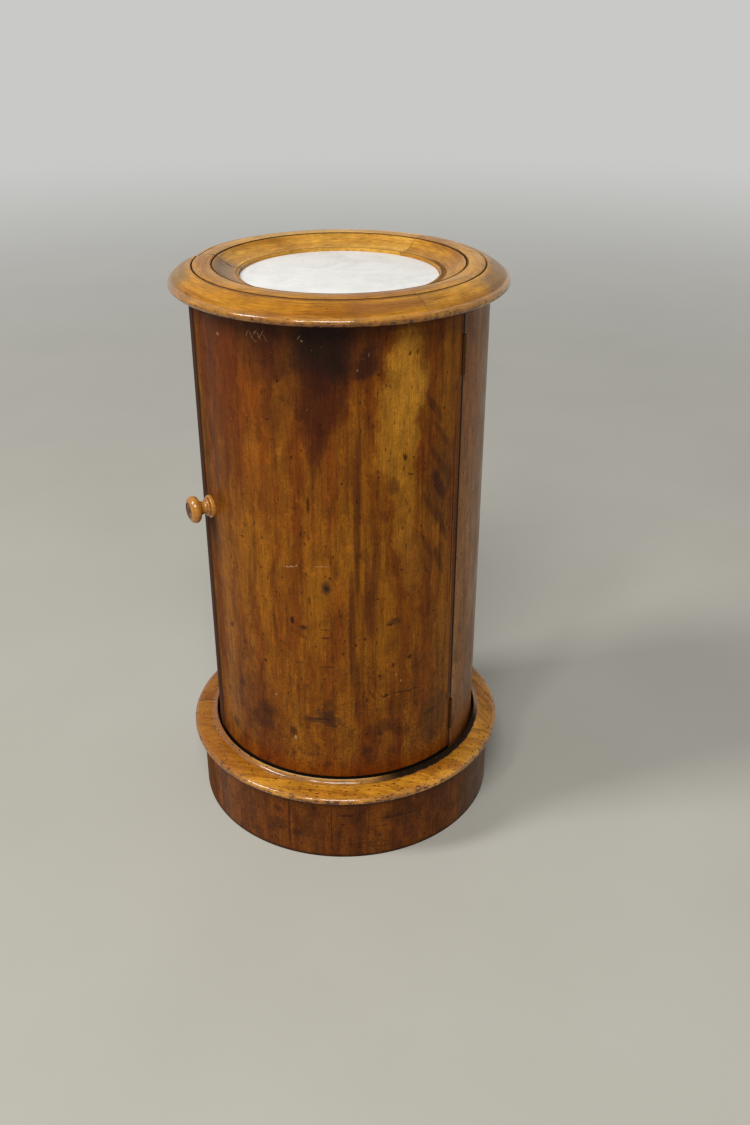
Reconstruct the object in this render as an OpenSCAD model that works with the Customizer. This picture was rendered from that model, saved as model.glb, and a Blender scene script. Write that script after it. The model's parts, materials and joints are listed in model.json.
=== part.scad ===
// Round bedside pot cupboard. A coopered body of bevelled staves stands on a drum plinth, with a
// curved door, a moulded ring round an inset marble disc, and a moulded cap on the plinth.
// Origin: centre of the foot, on the floor. +Z is up and -Y is the middle of the door.
// An angle is counted from -Y towards +X. All sizes are in millimetres.

/* [Body] */
// Outside diameter of the round body, over its veneer
body_d = 354; // [340:1:364]
// Height of the round body, from the plinth drum to the top moulding
body_h = 607.5; // [560:0.5:660]
// Thickness of a stave at its middle, between its flat inside and its curved outside
stave_t = 18; // [16:0.5:20]
// Thickness of the show veneer
veneer_t = 1; // [0.6:0.1:1.4]
// Width of the jamb stiles beside the door, measured round the outside
jamb_w = 32; // [28:1:38]

/* [Boards] */
// Thickness of the floor board that the staves stand on
floor_t = 18.4; // [17:0.1:20]
// How far the edge of the floor board stands back from the outside of the body
floor_set_back = 0.6; // [0.4:0.1:1]
// Thickness of the top board under the marble
top_board_t = 14; // [12:1:18]
// Thickness of the shelf
shelf_t = 12; // [10:1:16]
// Height of the top of the shelf above the floor board
shelf_rise = 283; // [240:1:300]
// Glue gap between a board and the wall around it
board_fit = 0.1; // [0.05:0.05:0.2]
// Height of a shelf bearer
bearer_h = 14; // [12:1:20]
// How far a shelf bearer stands in from the wall
bearer_w = 14; // [12:1:18]
// Length of a shelf bearer
bearer_len = 46; // [30:1:54]

/* [Door] */
// Angle that the door takes up round the body
door_angle = 121; // [112:1:124]
// Gap between the door and each jamb
door_gap = 0.8; // [0.6:0.1:1.2]
// Clearance over and under the door
door_play = 1.2; // [0.8:0.1:1.6]
// Gap between the inside of the door and the edges of the boards it closes on
door_stop_gap = 0.6; // [0.4:0.1:1]
// Width of the lipping down each edge of the door
lipping_w = 6.5; // [5:0.5:8]
// Width of the narrow stile at each edge of the door core
door_stile_w = 26; // [22:1:30]

/* [Hinges] */
// Height of a butt hinge
hinge_h = 46; // [40:1:60]
// Width of a hinge leaf, from the pin to its inner edge
leaf_w = 14; // [12:0.5:15]
// Thickness of a hinge leaf
leaf_t = 1.6; // [1.2:0.1:2]
// Diameter of a hinge barrel
barrel_d = 4.8; // [4.4:0.1:5.6]
// Diameter of a hinge pin
hinge_pin_d = 2.6; // [2:0.1:2.8]
// How far the hinge pin stands outside the face of the door
pin_proud = 0.4; // [0.3:0.1:0.8]
// Distance of a hinge from the end of the door
hinge_inset = 27; // [24:1:60]

/* [Knob and latch] */
// Height of the knob above the floor
knob_z = 452; // [420:1:480]
// Diameter of the knob's head
knob_d = 35; // [30:1:36]
// Diameter of the knob's neck
knob_neck_d = 14; // [11:0.5:15]
// Diameter of the turned rose behind the knob
rose_d = 30; // [27:1:32]
// Thickness of the rose at its middle
rose_t = 4; // [3:0.5:5]
// How far the face of the knob stands out from the door
knob_reach = 29.4; // [28:0.2:32]
// Diameter of the latch spindle
spindle_d = 6; // [5:0.5:7]
// Length of the latch tongue, from the spindle to its tip
tongue_len = 26; // [24:0.5:27]
// Width of the latch tongue
tongue_w = 10; // [8:1:11]
// Thickness of the latch tongue
tongue_t = 2; // [1.6:0.2:2.4]
// Thickness of the brass keeper plate on the jamb
keeper_t = 1.2; // [1:0.1:1.4]

/* [Top ring] */
// How far the nose of the top ring stands out past the body
ring_nosing = 22.5; // [18:0.5:28]
// Width of the top ring, from its nose to the opening that holds the marble
ring_w = 82.3; // [76:0.1:92]
// Height of the top ring, from its underside to the outer groove
ring_h = 27; // [26:0.5:30]
// Thickness of the marble disc
marble_t = 11.5; // [10:0.5:13]
// Gap between the marble and the ring
marble_gap = 0.5; // [0.3:0.1:1]

/* [Plinth] */
// Height of the plinth drum
drum_h = 94.5; // [80:0.5:110]
// Thickness of the drum wall
drum_wall = 36; // [34:1:40]
// Width of the plinth cap, from its inner edge to its nose
cap_w = 31.5; // [27:0.5:37]
// Height of the plinth cap, from the drum to its inner edge
cap_h = 18.3; // [17.6:0.1:18.6]
// Gap between the body and the plinth cap
cap_gap = 4; // [2:0.5:5]
// How far the nose of the cap stands out past the plinth drum
cap_nosing = 11.5; // [8:0.5:13]
// Size of the glue blocks inside the drum
glue_block = 20; // [16:1:22]

/* [Hidden] */
$fn = 96;
// Clearance in a running fit, in a screw hole, round a part that is let in, and between parts that
// pass each other
run_fit = 0.05;
hole_fit = 0.05;
let_in = 0.15;
pass_gap = 0.3;
// A cut that runs out past a face, and a plane far outside the body
over = 1;
far = 300;
// A whole turn
turn = 360;

wall_staves = [for (i = [1:9]) str("wall_stave_", i)];
door_staves = [for (i = [1:5]) str("door_stave_", i)];
ring_lengths = ["ring_length_left", "ring_length_right", "ring_length_back"];
cap_lengths = ["cap_length_front", "cap_length_back", "cap_length_left"];
bearers = ["shelf_bearer_right", "shelf_bearer_back", "shelf_bearer_left"];

show_wood = "#9a5a24";
pale_wood = "#c98f45";
core_wood = "#c9a26b";
edge_wood = "#6e3f1d";
marble_white = "#e4e3de";
brass = "#a9884a";

// Radii of the body
body_r = body_d / 2;
core_r = body_r - veneer_t;
inner_r = core_r - stave_t;
board_r = inner_r - door_stop_gap;

// Heights
floor_z = drum_h;
wall_z = floor_z + floor_t;
top_z = floor_z + body_h;
top_board_z = top_z - top_board_t;
shelf_z = wall_z + shelf_rise - shelf_t;
door_z = max(floor_z + cap_h, wall_z) + door_play;
door_top_z = top_z - door_play;
door_h = door_top_z - door_z;

// Angles round the body
function arc_angle(w) = w / body_r * 180 / PI;
door_half = door_angle / 2;
gap_a = arc_angle(door_gap);
jamb_a = arc_angle(jamb_w);
jamb_edge = door_half + gap_a;
wall_start = jamb_edge + jamb_a;
wall_step = (turn - 2 * wall_start) / len(wall_staves);
lipping_a = arc_angle(lipping_w);
door_stile_a = arc_angle(door_stile_w);
core_half = door_half - lipping_a - door_stile_a;
door_step = 2 * core_half / len(door_staves);
closing_jamb_a = -(jamb_edge + jamb_a / 2);
knob_a = -(door_half - lipping_a - door_stile_a / 2);

// Hinges
hinge_a = door_half + gap_a / 2;
pin_r = body_r + pin_proud;
barrel_r = barrel_d / 2;
hinge_low_z = door_z + hinge_inset;
hinge_high_z = door_top_z - hinge_inset - hinge_h;
hinge_heights = [hinge_low_z, hinge_high_z];
knuckles = 5;
knuckle_pitch = (hinge_h + pass_gap) / knuckles;
leaf_screw_d = 2.6;
leaf_screw_len = 13;
// Places of the leaf screws: how far in from the pin, and how far apart up the leaf
leaf_screw_in = 8.4;
leaf_screw_step = 16.6;

// Latch: distances along the knob's axis from the axis of the body
rose_r = rose_d / 2;
rose_face = body_r + rose_t;
rose_bead_r = 1.7;
knob_back = rose_face + pass_gap;
knob_face = body_r + knob_reach;
tongue_play = 0.2;
tip_t = inner_r - keeper_t - pass_gap;
lean = abs(closing_jamb_a - knob_a);
tongue_out = (tip_t - tongue_len * sin(lean)) / cos(lean);
tongue_in = tongue_out - tongue_t;
collar_in = tongue_out + tongue_play;
collar_d = 15;
boss_d = 13;
nut_t = 3;
nut_d = 11;
// How far the spindle stands past its nut, and how much of the knob is left over its end
spindle_end = 1;
spindle_cover = 9;
spindle_bore_play = 0.5;
spindle_in = tongue_in - nut_t - spindle_end;
spindle_out = knob_face - spindle_cover;
// Pins that stop the tongue, upright on one and level on the other, and their depth in the stile
stop_pin_d = 2.4;
stop_pin_reach = 9;
stop_pin_depth = 8;
keeper_w = 20;
keeper_h = 40;
keeper_screw_d = 2.4;
keeper_screw_len = 9;
keeper_screw_inset = 6;
keeper_edge = inner_r * tan(jamb_a / 2);

// Turned knob
knob_collar_d = 23.4;
knob_collar_t = 3;
knob_rim_r = 5.6;
knob_crown = 1;
knob_dish_lip = 2.2;
knob_dish_depth = 1.2;
knob_dish_fillet = 1;
knob_button_r = 3.4;
knob_button_rise = 0.7;
knob_button_crown = 0.1;
neck_hollow = 1;

// Top ring: the distances of its grooves are measured in from the nose
ring_r = body_r + ring_nosing;
well_r = ring_r - ring_w;
ring_joints = [-89.4, 38.5, 150];
nose_r = 4.6;
nose_lift = 4.6;
ring_foot = 3;
hollow_dip = 1;
groove_w = 1.8;
outer_groove_r = ring_r - 29;
inner_groove_r = ring_r - 51.9;
ring_lip_w = 2.2;
ring_lip_h = 3.6;
cove_dip = 3.4;
band_rise = 1;
band_fall = 0.3;
ovolo_rise = 1.8;
ledge_in = 0.8;
ledge_h = 0.6;

// Plinth
cap_in = body_r + cap_gap;
cap_r = cap_in + cap_w;
drum_r = cap_r - cap_nosing;
course_r = drum_r - veneer_t;
course_in = drum_r - drum_wall;
course_h = drum_h / 2;
bricks = 6;
cap_joints = [-84.4, 78.9, 177];
cap_nose_r = 5;
cap_arris_w = 1.1;
cap_cove_w = 6;
cap_cove_h = 5.6;
cap_cove_dip = 1.5;
cap_slope_rise = 1.5;
foot_gap = 0.4;
// Glue line between two blocks of a course
glue_line = 0.1;

// Screws. The head is twice as wide as the shank, and the shares are of the shank's diameter
head_share = 2;
head_h_share = 0.55;
point_share = 0.2;
top_screw_d = 4;
top_screw_len = 25;
floor_screw_d = 4.5;
floor_screw_len = 30;
bearer_screw_d = 3.5;
bearer_screw_len = 24;
// Places of the six top screws and the four floor screws round the body
top_screw_angles = [-60, 10, 68, 122, 178, 240];
floor_screw_angles = [45, 135, 225, 315];
top_screw_r = (well_r + inner_r) / 2;
floor_screw_r = course_in - glue_block / 2;

// A point at an angle and a distance from the axis
function spot(a, r) = [r * sin(a), -r * cos(a)];

// Turns what is drawn at -Y round to an angle
module at_angle(a) {
    rotate([0, 0, a]) children();
}

// Draws along an axis that points out from the body at an angle and a height: +Z of the
// children points outwards, and +Y of the children points up
module outwards(a, z) {
    rotate([0, 0, a]) translate([0, 0, z]) rotate([90, 0, 0]) children();
}

// A flat sector between two angles
module sector(from, to) {
    step = (to - from) / 6;
    polygon(concat([[0, 0]], [for (i = [0:6]) spot(from + i * step, far)]));
}

// One bevelled stave: radial edges, flat inside, curved outside
module stave(middle, angle, z, h, outer) {
    x_in = inner_r * tan(angle / 2);
    x_out = far * tan(angle / 2);
    at_angle(middle) translate([0, 0, z]) linear_extrude(height = h) intersection() {
        circle(r = outer, $fn = 180);
        polygon([[-x_in, -inner_r], [x_in, -inner_r], [x_out, -far], [-x_out, -far]]);
    }
}

// A curved sheet between two radii and two angles
module sheet(from, to, z, h, inside, outer) {
    at_angle(from - 90) translate([0, 0, z]) rotate_extrude(angle = to - from, $fn = 180)
        translate([inside, 0]) square([outer - inside, h]);
}

// A countersunk screw: its head is flush with z = 0 and its point is down
module screw(d, len, grow = 0) {
    head_d = d * head_share;
    head_h = d * head_h_share;
    tip_d = d * point_share;
    translate([0, 0, -head_h]) cylinder(h = head_h, d1 = d + 2 * grow, d2 = head_d + 2 * grow, $fn = 32);
    translate([0, 0, d - len]) cylinder(h = len - d, d = d + 2 * grow, $fn = 32);
    translate([0, 0, -len - grow]) cylinder(h = d + grow, d1 = tip_d + 2 * grow, d2 = d + 2 * grow, $fn = 32);
    if (grow > 0) cylinder(h = over, d = head_d + 2 * grow, $fn = 32);
}

// The screws of the top board, driven up into the ring
module top_screw_set(grow = 0) {
    for (a = top_screw_angles)
        at_angle(a) translate([0, -top_screw_r, top_board_z])
            mirror([0, 0, 1]) screw(top_screw_d, top_screw_len, grow);
}

// The screws driven up through the glue blocks into the floor board
module floor_screw_set(grow = 0) {
    for (a = floor_screw_angles)
        at_angle(a) translate([0, -floor_screw_r, floor_z - glue_block])
            mirror([0, 0, 1]) screw(floor_screw_d, floor_screw_len, grow);
}

bearer_staves = [0, (len(wall_staves) - 1) / 2, len(wall_staves) - 1];
function stave_angle(i) = wall_start + (i + 0.5) * wall_step;
function bearer_angle(i) = stave_angle(bearer_staves[i]);

// The screws that hold the shelf bearers to the wall
module bearer_screw_set(grow = 0) {
    for (i = [0:len(bearers) - 1])
        for (side = [-1, 1])
            outwards(bearer_angle(i), shelf_z - bearer_h / 2)
                translate([side * bearer_len / 4, 0, inner_r - bearer_w])
                    mirror([0, 0, 1]) screw(bearer_screw_d, bearer_screw_len, grow);
}

// Outline of the inside of the body, which the boards are cut to
module board_outline() {
    pieces = concat([[jamb_edge, wall_start]],
        [for (i = [0:len(wall_staves) - 1]) [wall_start + i * wall_step, wall_start + (i + 1) * wall_step]],
        [[turn - wall_start, turn - jamb_edge]]);
    polygon(concat([[0, 0]], [for (p = pieces) for (a = p)
        spot(a, (inner_r - board_fit) / cos((p[1] - p[0]) / 2))]));
    intersection() {
        circle(r = board_r, $fn = 180);
        sector(-jamb_edge, jamb_edge);
    }
}

module top_board() {
    color(core_wood) difference() {
        translate([0, 0, top_board_z]) linear_extrude(height = top_board_t) board_outline();
        top_screw_set(hole_fit);
    }
}

module shelf() {
    color(core_wood) translate([0, 0, shelf_z]) linear_extrude(height = shelf_t) board_outline();
}

module floor_board() {
    color(core_wood) difference() {
        translate([0, 0, floor_z]) cylinder(h = floor_t, r = body_r - floor_set_back - veneer_t, $fn = 180);
        floor_screw_set(hole_fit);
    }
}

module shelf_bearer(i) {
    color(core_wood) difference() {
        at_angle(bearer_angle(i)) translate([-bearer_len / 2, -inner_r, shelf_z - bearer_h])
            cube([bearer_len, bearer_w, bearer_h]);
        bearer_screw_set(hole_fit);
    }
}

module wall_stave(i) {
    color(core_wood) difference() {
        stave(stave_angle(i), wall_step, wall_z, top_z - wall_z, core_r);
        bearer_screw_set(hole_fit);
    }
}

// What is cut out of the wood for the leaves and barrels of both hinges, on one side of the seam
module hinge_recess(side) {
    for (z = hinge_heights)
        at_angle(hinge_a) translate([0, -pin_r, z - let_in]) {
            cylinder(h = hinge_h + 2 * let_in, r = barrel_r + 2 * let_in);
            mirror([side < 0 ? 1 : 0, 0, 0]) translate([0, -over, 0])
                cube([door_gap / 2 + leaf_t + let_in / 2, leaf_w + let_in + over, hinge_h + 2 * let_in]);
        }
}

// Screws of both hinges, on one side of the seam
module leaf_screw_set(side, grow = 0) {
    for (z = hinge_heights)
        for (row = [-1:1])
            at_angle(hinge_a) translate([side * door_gap / 2, leaf_screw_in - pin_r,
                    z + hinge_h / 2 + row * leaf_screw_step])
                rotate([0, -side * 90, 0]) screw(leaf_screw_d, leaf_screw_len, grow);
}

module hinge_jamb() {
    color(core_wood) difference() {
        stave(jamb_edge + jamb_a / 2, jamb_a, wall_z, top_z - wall_z, core_r);
        hinge_recess(1);
        leaf_screw_set(1, hole_fit);
    }
}

module closing_jamb() {
    color(core_wood) difference() {
        stave(closing_jamb_a, jamb_a, wall_z, top_z - wall_z, core_r);
        keeper_screw_set(hole_fit);
    }
}

module body_veneer() {
    color(show_wood) difference() {
        sheet(jamb_edge, turn - jamb_edge, floor_z, body_h, core_r, body_r);
        hinge_recess(1);
    }
}

// One hinge leaf with its own knuckles, drawn on the pin axis. side is 1 on the jamb, -1 on the door
module hinge_leaf(side, z) {
    own = side > 0 ? 0 : 1;
    other = 1 - own;
    color(brass) at_angle(hinge_a) translate([0, -pin_r, z]) difference() {
        union() {
            mirror([side < 0 ? 1 : 0, 0, 0]) translate([door_gap / 2, 0, 0])
                cube([leaf_t, leaf_w, hinge_h]);
            for (k = [own:2:knuckles - 1])
                translate([0, 0, k * knuckle_pitch])
                    cylinder(h = knuckle_pitch - pass_gap, r = barrel_r, $fn = 48);
        }
        for (k = [other:2:knuckles - 1])
            translate([0, 0, k * knuckle_pitch - pass_gap])
                cylinder(h = knuckle_pitch + pass_gap, r = barrel_r + pass_gap, $fn = 48);
        translate([0, 0, -over])
            cylinder(h = hinge_h + 2 * over, d = hinge_pin_d + 2 * run_fit, $fn = 48);
        for (row = [-1:1])
            translate([side * door_gap / 2, leaf_screw_in, hinge_h / 2 + row * leaf_screw_step])
                rotate([0, -side * 90, 0]) screw(leaf_screw_d, leaf_screw_len, hole_fit);
    }
}

module hinge_pin(z) {
    color(brass) at_angle(hinge_a) translate([0, -pin_r, z])
        cylinder(h = hinge_h, d = hinge_pin_d, $fn = 48);
}

// Brass wear plate on the inside of the closing jamb, which the tongue turns in behind
module keeper_plate() {
    color(brass) difference() {
        at_angle(closing_jamb_a) translate([keeper_edge - keeper_w, -inner_r, knob_z - keeper_h / 2])
            cube([keeper_w, keeper_t, keeper_h]);
        keeper_screw_set(hole_fit);
    }
}

module keeper_screw_set(grow = 0) {
    for (side = [-1, 1])
        outwards(closing_jamb_a, knob_z + side * (keeper_h / 2 - keeper_screw_inset))
            translate([keeper_edge - keeper_w / 2, 0, inner_r - keeper_t])
                mirror([0, 0, 1]) screw(keeper_screw_d, keeper_screw_len, grow);
}

// The spindle's hole through the door
module spindle_hole() {
    outwards(knob_a, knob_z) translate([0, 0, inner_r - over])
        cylinder(h = stave_t + veneer_t + rose_t + 2 * over, d = spindle_d + 2 * let_in, $fn = 48);
}

// The two stop pins: one beside the tongue where it stands upright, and one under it where it is level
module stop_pin_set(grow = 0) {
    beside = tongue_w / 2 + pass_gap + stop_pin_d / 2;
    for (p = [[beside, stop_pin_reach], [-stop_pin_reach, -beside]])
        outwards(knob_a, knob_z) translate([p[0], p[1], tongue_in])
            cylinder(h = inner_r + stop_pin_depth + grow - tongue_in, d = stop_pin_d + 2 * grow, $fn = 32);
}

module door_stave(i) {
    color(core_wood) stave(-core_half + (i + 0.5) * door_step, door_step, door_z, door_h, core_r);
}

module door_closing_stile() {
    color(core_wood) difference() {
        stave(knob_a, door_stile_a, door_z, door_h, core_r);
        spindle_hole();
        stop_pin_set(hole_fit);
    }
}

module door_hinge_stile() {
    color(core_wood) difference() {
        stave(-knob_a, door_stile_a, door_z, door_h, core_r);
        leaf_screw_set(-1, hole_fit);
    }
}

module lipping(side) {
    color(edge_wood) stave(side * (door_half - lipping_a / 2), lipping_a, door_z, door_h, body_r);
}

module hinge_lipping() {
    difference() {
        lipping(1);
        hinge_recess(-1);
        leaf_screw_set(-1, hole_fit);
    }
}

module door_veneer() {
    color(show_wood) difference() {
        sheet(lipping_a - door_half, door_half - lipping_a, door_z, door_h, core_r, body_r);
        spindle_hole();
    }
}

module latch_collar() {
    color(brass) outwards(knob_a, knob_z) difference() {
        translate([0, 0, collar_in]) cylinder(h = inner_r - collar_in, d = collar_d, $fn = 48);
        translate([0, 0, collar_in - over])
            cylinder(h = inner_r - collar_in + 2 * over, d = spindle_d + 2 * run_fit, $fn = 48);
    }
}

// Turned rose with a rounded edge, its back hollowed to sit on the curved door
module knob_rose() {
    color(pale_wood) difference() {
        outwards(knob_a, knob_z) rotate_extrude() polygon(concat(
            [[0, body_r - rose_t], [rose_r, body_r - rose_t]],
            arc([rose_r - rose_bead_r, rose_face - rose_bead_r], rose_bead_r, 0, 90, 8),
            [[0, rose_face]]
        ));
        cylinder(h = 2 * knob_z, r = body_r, $fn = 180);
        spindle_hole();
    }
}

// Outline of the turned knob: a collar, a hollow neck and a flattened head with a sunk face
module knob_outline() {
    collar_bead = knob_collar_t / 2;
    collar_r = knob_collar_d / 2 - collar_bead;
    rim = [knob_d / 2 - knob_rim_r, knob_face - knob_rim_r - knob_crown];
    dish_r = rim[0] - knob_dish_lip;
    head_start = rim + knob_rim_r * [cos(-72), sin(-72)];
    neck = [knob_neck_d / 2, (knob_back + knob_collar_t + head_start[1]) / 2];
    polygon(concat(
        [[0, knob_back]],
        arc([collar_r, knob_back + collar_bead], collar_bead, -90, 90, 10),
        bow([collar_r - knob_dish_fillet, knob_back + knob_collar_t], neck, neck_hollow, 8),
        bow(neck, head_start, neck_hollow, 8),
        arc(rim, knob_rim_r, -66, 78, 16),
        [[dish_r + knob_dish_fillet, knob_face - knob_crown / 4]],
        [[dish_r, knob_face - knob_dish_depth], [knob_button_r, knob_face - knob_dish_depth]],
        bow([knob_button_r, knob_face - knob_button_rise], [0, knob_face - knob_button_rise / 2],
            -knob_button_crown, 4)
    ));
}

module knob() {
    color(pale_wood) outwards(knob_a, knob_z) difference() {
        rotate_extrude() knob_outline();
        translate([0, 0, knob_back - over])
            cylinder(h = spindle_out + spindle_bore_play - knob_back + over, d = spindle_d + 2 * run_fit,
                $fn = 48);
    }
}

module latch_spindle() {
    color(brass) outwards(knob_a, knob_z) translate([0, 0, spindle_in])
        cylinder(h = spindle_out - spindle_in, d = spindle_d, $fn = 48);
}

module latch_tongue() {
    color(brass) outwards(knob_a, knob_z) translate([0, 0, tongue_in]) difference() {
        linear_extrude(height = tongue_t) {
            circle(d = boss_d, $fn = 48);
            translate([-tongue_w / 2, 0]) square([tongue_w, tongue_len - tongue_w / 4]);
            translate([-tongue_w / 4, 0]) square([tongue_w / 2, tongue_len]);
            for (side = [-1, 1])
                translate([side * tongue_w / 4, tongue_len - tongue_w / 4])
                    circle(r = tongue_w / 4, $fn = 32);
        }
        translate([0, 0, -over]) cylinder(h = tongue_t + 2 * over, d = spindle_d + 2 * run_fit, $fn = 48);
    }
}

module spindle_nut() {
    color(brass) outwards(knob_a, knob_z) translate([0, 0, tongue_in - nut_t]) difference() {
        cylinder(h = nut_t, d = nut_d, $fn = 6);
        translate([0, 0, -over]) cylinder(h = nut_t + 2 * over, d = spindle_d + 2 * run_fit, $fn = 48);
    }
}

module stop_pins() {
    color(brass) stop_pin_set();
}

// Points along a circular bow from p to q. Seen along the way it bulges to the left by the rise,
// or to the right where the rise is less than 0
function bow(p, q, rise, steps = 12) =
    let (
        chord = norm(q - p),
        r = (chord * chord / 4 + rise * rise) / (2 * abs(rise)),
        normal = [p[1] - q[1], q[0] - p[0]] / chord,
        centre = (p + q) / 2 + normal * (rise > 0 ? rise - r : rise + r),
        from = atan2(p[1] - centre[1], p[0] - centre[0]),
        sweep = 2 * asin(min(1, chord / 2 / r)) * (rise > 0 ? -1 : 1)
    ) arc(centre, r, from, from + sweep, steps);

// Points along an arc round a centre
function arc(centre, r, from, to, steps = 12) =
    let (step = (to - from) / steps)
    [for (i = [0:steps]) centre + r * [cos(from + step * i), sin(from + step * i)]];

// The three points of a fine V groove, cut down from a point on the outline
function groove(r, z) = [[r - groove_w / 2, z], [r, z - groove_w], [r + groove_w / 2, z]];

// Section of the top ring, with its foot on z = 0: a lip at the marble, a cove, a groove, a low band,
// a second groove, an ovolo, a ledge, a round nose, and a hollow between the nose and the foot
module ring_section() {
    lip = [well_r + ring_lip_w, marble_t + ring_lip_h];
    cove_end = [inner_groove_r - groove_w / 2, ring_h];
    band_in = [inner_groove_r + groove_w / 2, ring_h];
    band_out = [outer_groove_r - groove_w / 2, ring_h - band_fall];
    ovolo_top = [outer_groove_r + groove_w / 2, ring_h - band_fall];
    nose = [ring_r - nose_r, nose_lift + nose_r];
    ledge = nose + [-ledge_in, nose_r + ledge_h];
    foot = [body_r + ring_foot, 0];
    polygon(concat(
        [[well_r, 0], [well_r, lip[1]]],
        bow(lip, cove_end, -cove_dip),
        groove(inner_groove_r, ring_h),
        bow(band_in, band_out, band_rise),
        groove(outer_groove_r, ring_h - band_fall),
        bow(ovolo_top, ledge, ovolo_rise),
        arc(nose, nose_r, 82, -90, 16),
        bow(foot + [nose_lift, nose_lift], foot, -hollow_dip, 6)
    ));
}

// The top ring between two of its joints
module ring_length(i) {
    n = len(ring_joints);
    from = ring_joints[i];
    to = ring_joints[(i + 1) % n] + (i == n - 1 ? turn : 0);
    color(pale_wood) difference() {
        at_angle(from - 90) translate([0, 0, top_z])
            rotate_extrude(angle = to - from, $fn = 180) ring_section();
        top_screw_set(hole_fit);
    }
}

module marble_disc() {
    color(marble_white) translate([0, 0, top_z]) cylinder(h = marble_t, r = well_r - marble_gap, $fn = 180);
}

// Section of the plinth cap, with its underside on z = 0: a cove at the body, a long rounded slope
// and a round nose
module cap_section() {
    cove_top = [cap_in + cap_arris_w, cap_h];
    cove_low = [cap_in + cap_cove_w, cap_h - cap_cove_h];
    nose = [cap_r - cap_nose_r, cap_nose_r];
    brow = nose + cap_nose_r * [cos(75), sin(75)];
    polygon(concat(
        [[cap_in, 0], [cap_in, cap_h]],
        bow(cove_top, cove_low, -cap_cove_dip, 8),
        bow(cove_low, brow, cap_slope_rise),
        arc(nose, cap_nose_r, 68, -90, 16)
    ));
}

module cap_length(i) {
    n = len(cap_joints);
    from = cap_joints[i];
    to = cap_joints[(i + 1) % n] + (i == n - 1 ? turn : 0);
    color(pale_wood) at_angle(from - 90) translate([0, 0, drum_h])
        rotate_extrude(angle = to - from, $fn = 180) cap_section();
}

// One course of curved blocks; the joints of the two courses are staggered by half a block
module course(z, shift) {
    step = turn / bricks;
    line_a = arc_angle(glue_line);
    color(core_wood) for (i = [0:bricks - 1])
        sheet((i + shift) * step, (i + 1 + shift) * step - line_a, z, course_h, course_in, course_r);
}

module drum_veneer() {
    color(edge_wood) translate([0, 0, foot_gap]) difference() {
        cylinder(h = drum_h - foot_gap, r = drum_r, $fn = 180);
        translate([0, 0, -over]) cylinder(h = drum_h + 2 * over, r = course_r, $fn = 180);
    }
}

module glue_blocks() {
    color(core_wood) difference() {
        for (a = floor_screw_angles)
            intersection() {
                at_angle(a) translate([-glue_block, -course_in - over, floor_z - glue_block])
                    cube([2 * glue_block, glue_block + over, glue_block]);
                cylinder(h = drum_h, r = course_in, $fn = 180);
            }
        floor_screw_set(hole_fit);
    }
}

top_board();
floor_board();
shelf();
marble_disc();
hinge_jamb();
closing_jamb();
body_veneer();
course(0, 0);  // lower_course
course(course_h, 1 / 2);  // upper_course
drum_veneer();
glue_blocks();
color(brass) top_screw_set();  // top_screws
color(brass) floor_screw_set();  // floor_screws
color(brass) bearer_screw_set();  // bearer_screws
hinge_leaf(1, hinge_high_z);  // upper_jamb_leaf
hinge_leaf(1, hinge_low_z);  // lower_jamb_leaf
hinge_pin(hinge_high_z);  // upper_hinge_pin
hinge_pin(hinge_low_z);  // lower_hinge_pin
color(brass) leaf_screw_set(1);  // jamb_hinge_screws
keeper_plate();
color(brass) keeper_screw_set();  // keeper_screws
door_hinge_stile();
door_closing_stile();
hinge_lipping();
lipping(-1);  // closing_lipping
door_veneer();
hinge_leaf(-1, hinge_high_z);  // upper_door_leaf
hinge_leaf(-1, hinge_low_z);  // lower_door_leaf
color(brass) leaf_screw_set(-1);  // door_hinge_screws
latch_collar();
stop_pins();
knob_rose();
knob();
latch_spindle();
latch_tongue();
spindle_nut();
for (i = [0:len(wall_staves) - 1])
    wall_stave(i);
for (i = [0:len(door_staves) - 1])
    door_stave(i);
for (i = [0:len(ring_lengths) - 1])
    ring_length(i);
for (i = [0:len(cap_lengths) - 1])
    cap_length(i);
for (i = [0:len(bearers) - 1])
    shelf_bearer(i);
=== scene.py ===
import json
import math

import bpy
from mathutils import Matrix, Vector


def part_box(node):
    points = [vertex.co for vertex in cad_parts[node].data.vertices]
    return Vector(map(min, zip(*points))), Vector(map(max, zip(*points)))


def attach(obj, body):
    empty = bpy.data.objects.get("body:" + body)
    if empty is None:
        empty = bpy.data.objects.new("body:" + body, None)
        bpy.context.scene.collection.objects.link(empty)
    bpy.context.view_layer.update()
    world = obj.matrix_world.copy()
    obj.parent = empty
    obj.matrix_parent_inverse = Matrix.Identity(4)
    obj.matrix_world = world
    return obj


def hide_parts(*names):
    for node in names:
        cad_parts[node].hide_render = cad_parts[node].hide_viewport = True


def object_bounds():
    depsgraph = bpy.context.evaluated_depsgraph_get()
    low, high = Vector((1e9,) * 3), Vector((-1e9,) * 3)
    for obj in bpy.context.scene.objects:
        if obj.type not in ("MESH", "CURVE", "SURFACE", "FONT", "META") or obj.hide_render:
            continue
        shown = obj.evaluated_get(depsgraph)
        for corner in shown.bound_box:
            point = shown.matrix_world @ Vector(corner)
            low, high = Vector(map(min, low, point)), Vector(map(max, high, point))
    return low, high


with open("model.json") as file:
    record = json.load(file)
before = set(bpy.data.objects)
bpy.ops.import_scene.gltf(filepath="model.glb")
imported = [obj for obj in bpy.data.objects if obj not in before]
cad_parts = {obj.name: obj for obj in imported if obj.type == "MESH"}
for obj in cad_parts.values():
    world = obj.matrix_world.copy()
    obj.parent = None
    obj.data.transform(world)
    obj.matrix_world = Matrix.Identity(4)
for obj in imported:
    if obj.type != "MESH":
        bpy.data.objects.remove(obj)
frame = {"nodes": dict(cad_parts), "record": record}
cad_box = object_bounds()
nodes = frame["nodes"]
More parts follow.
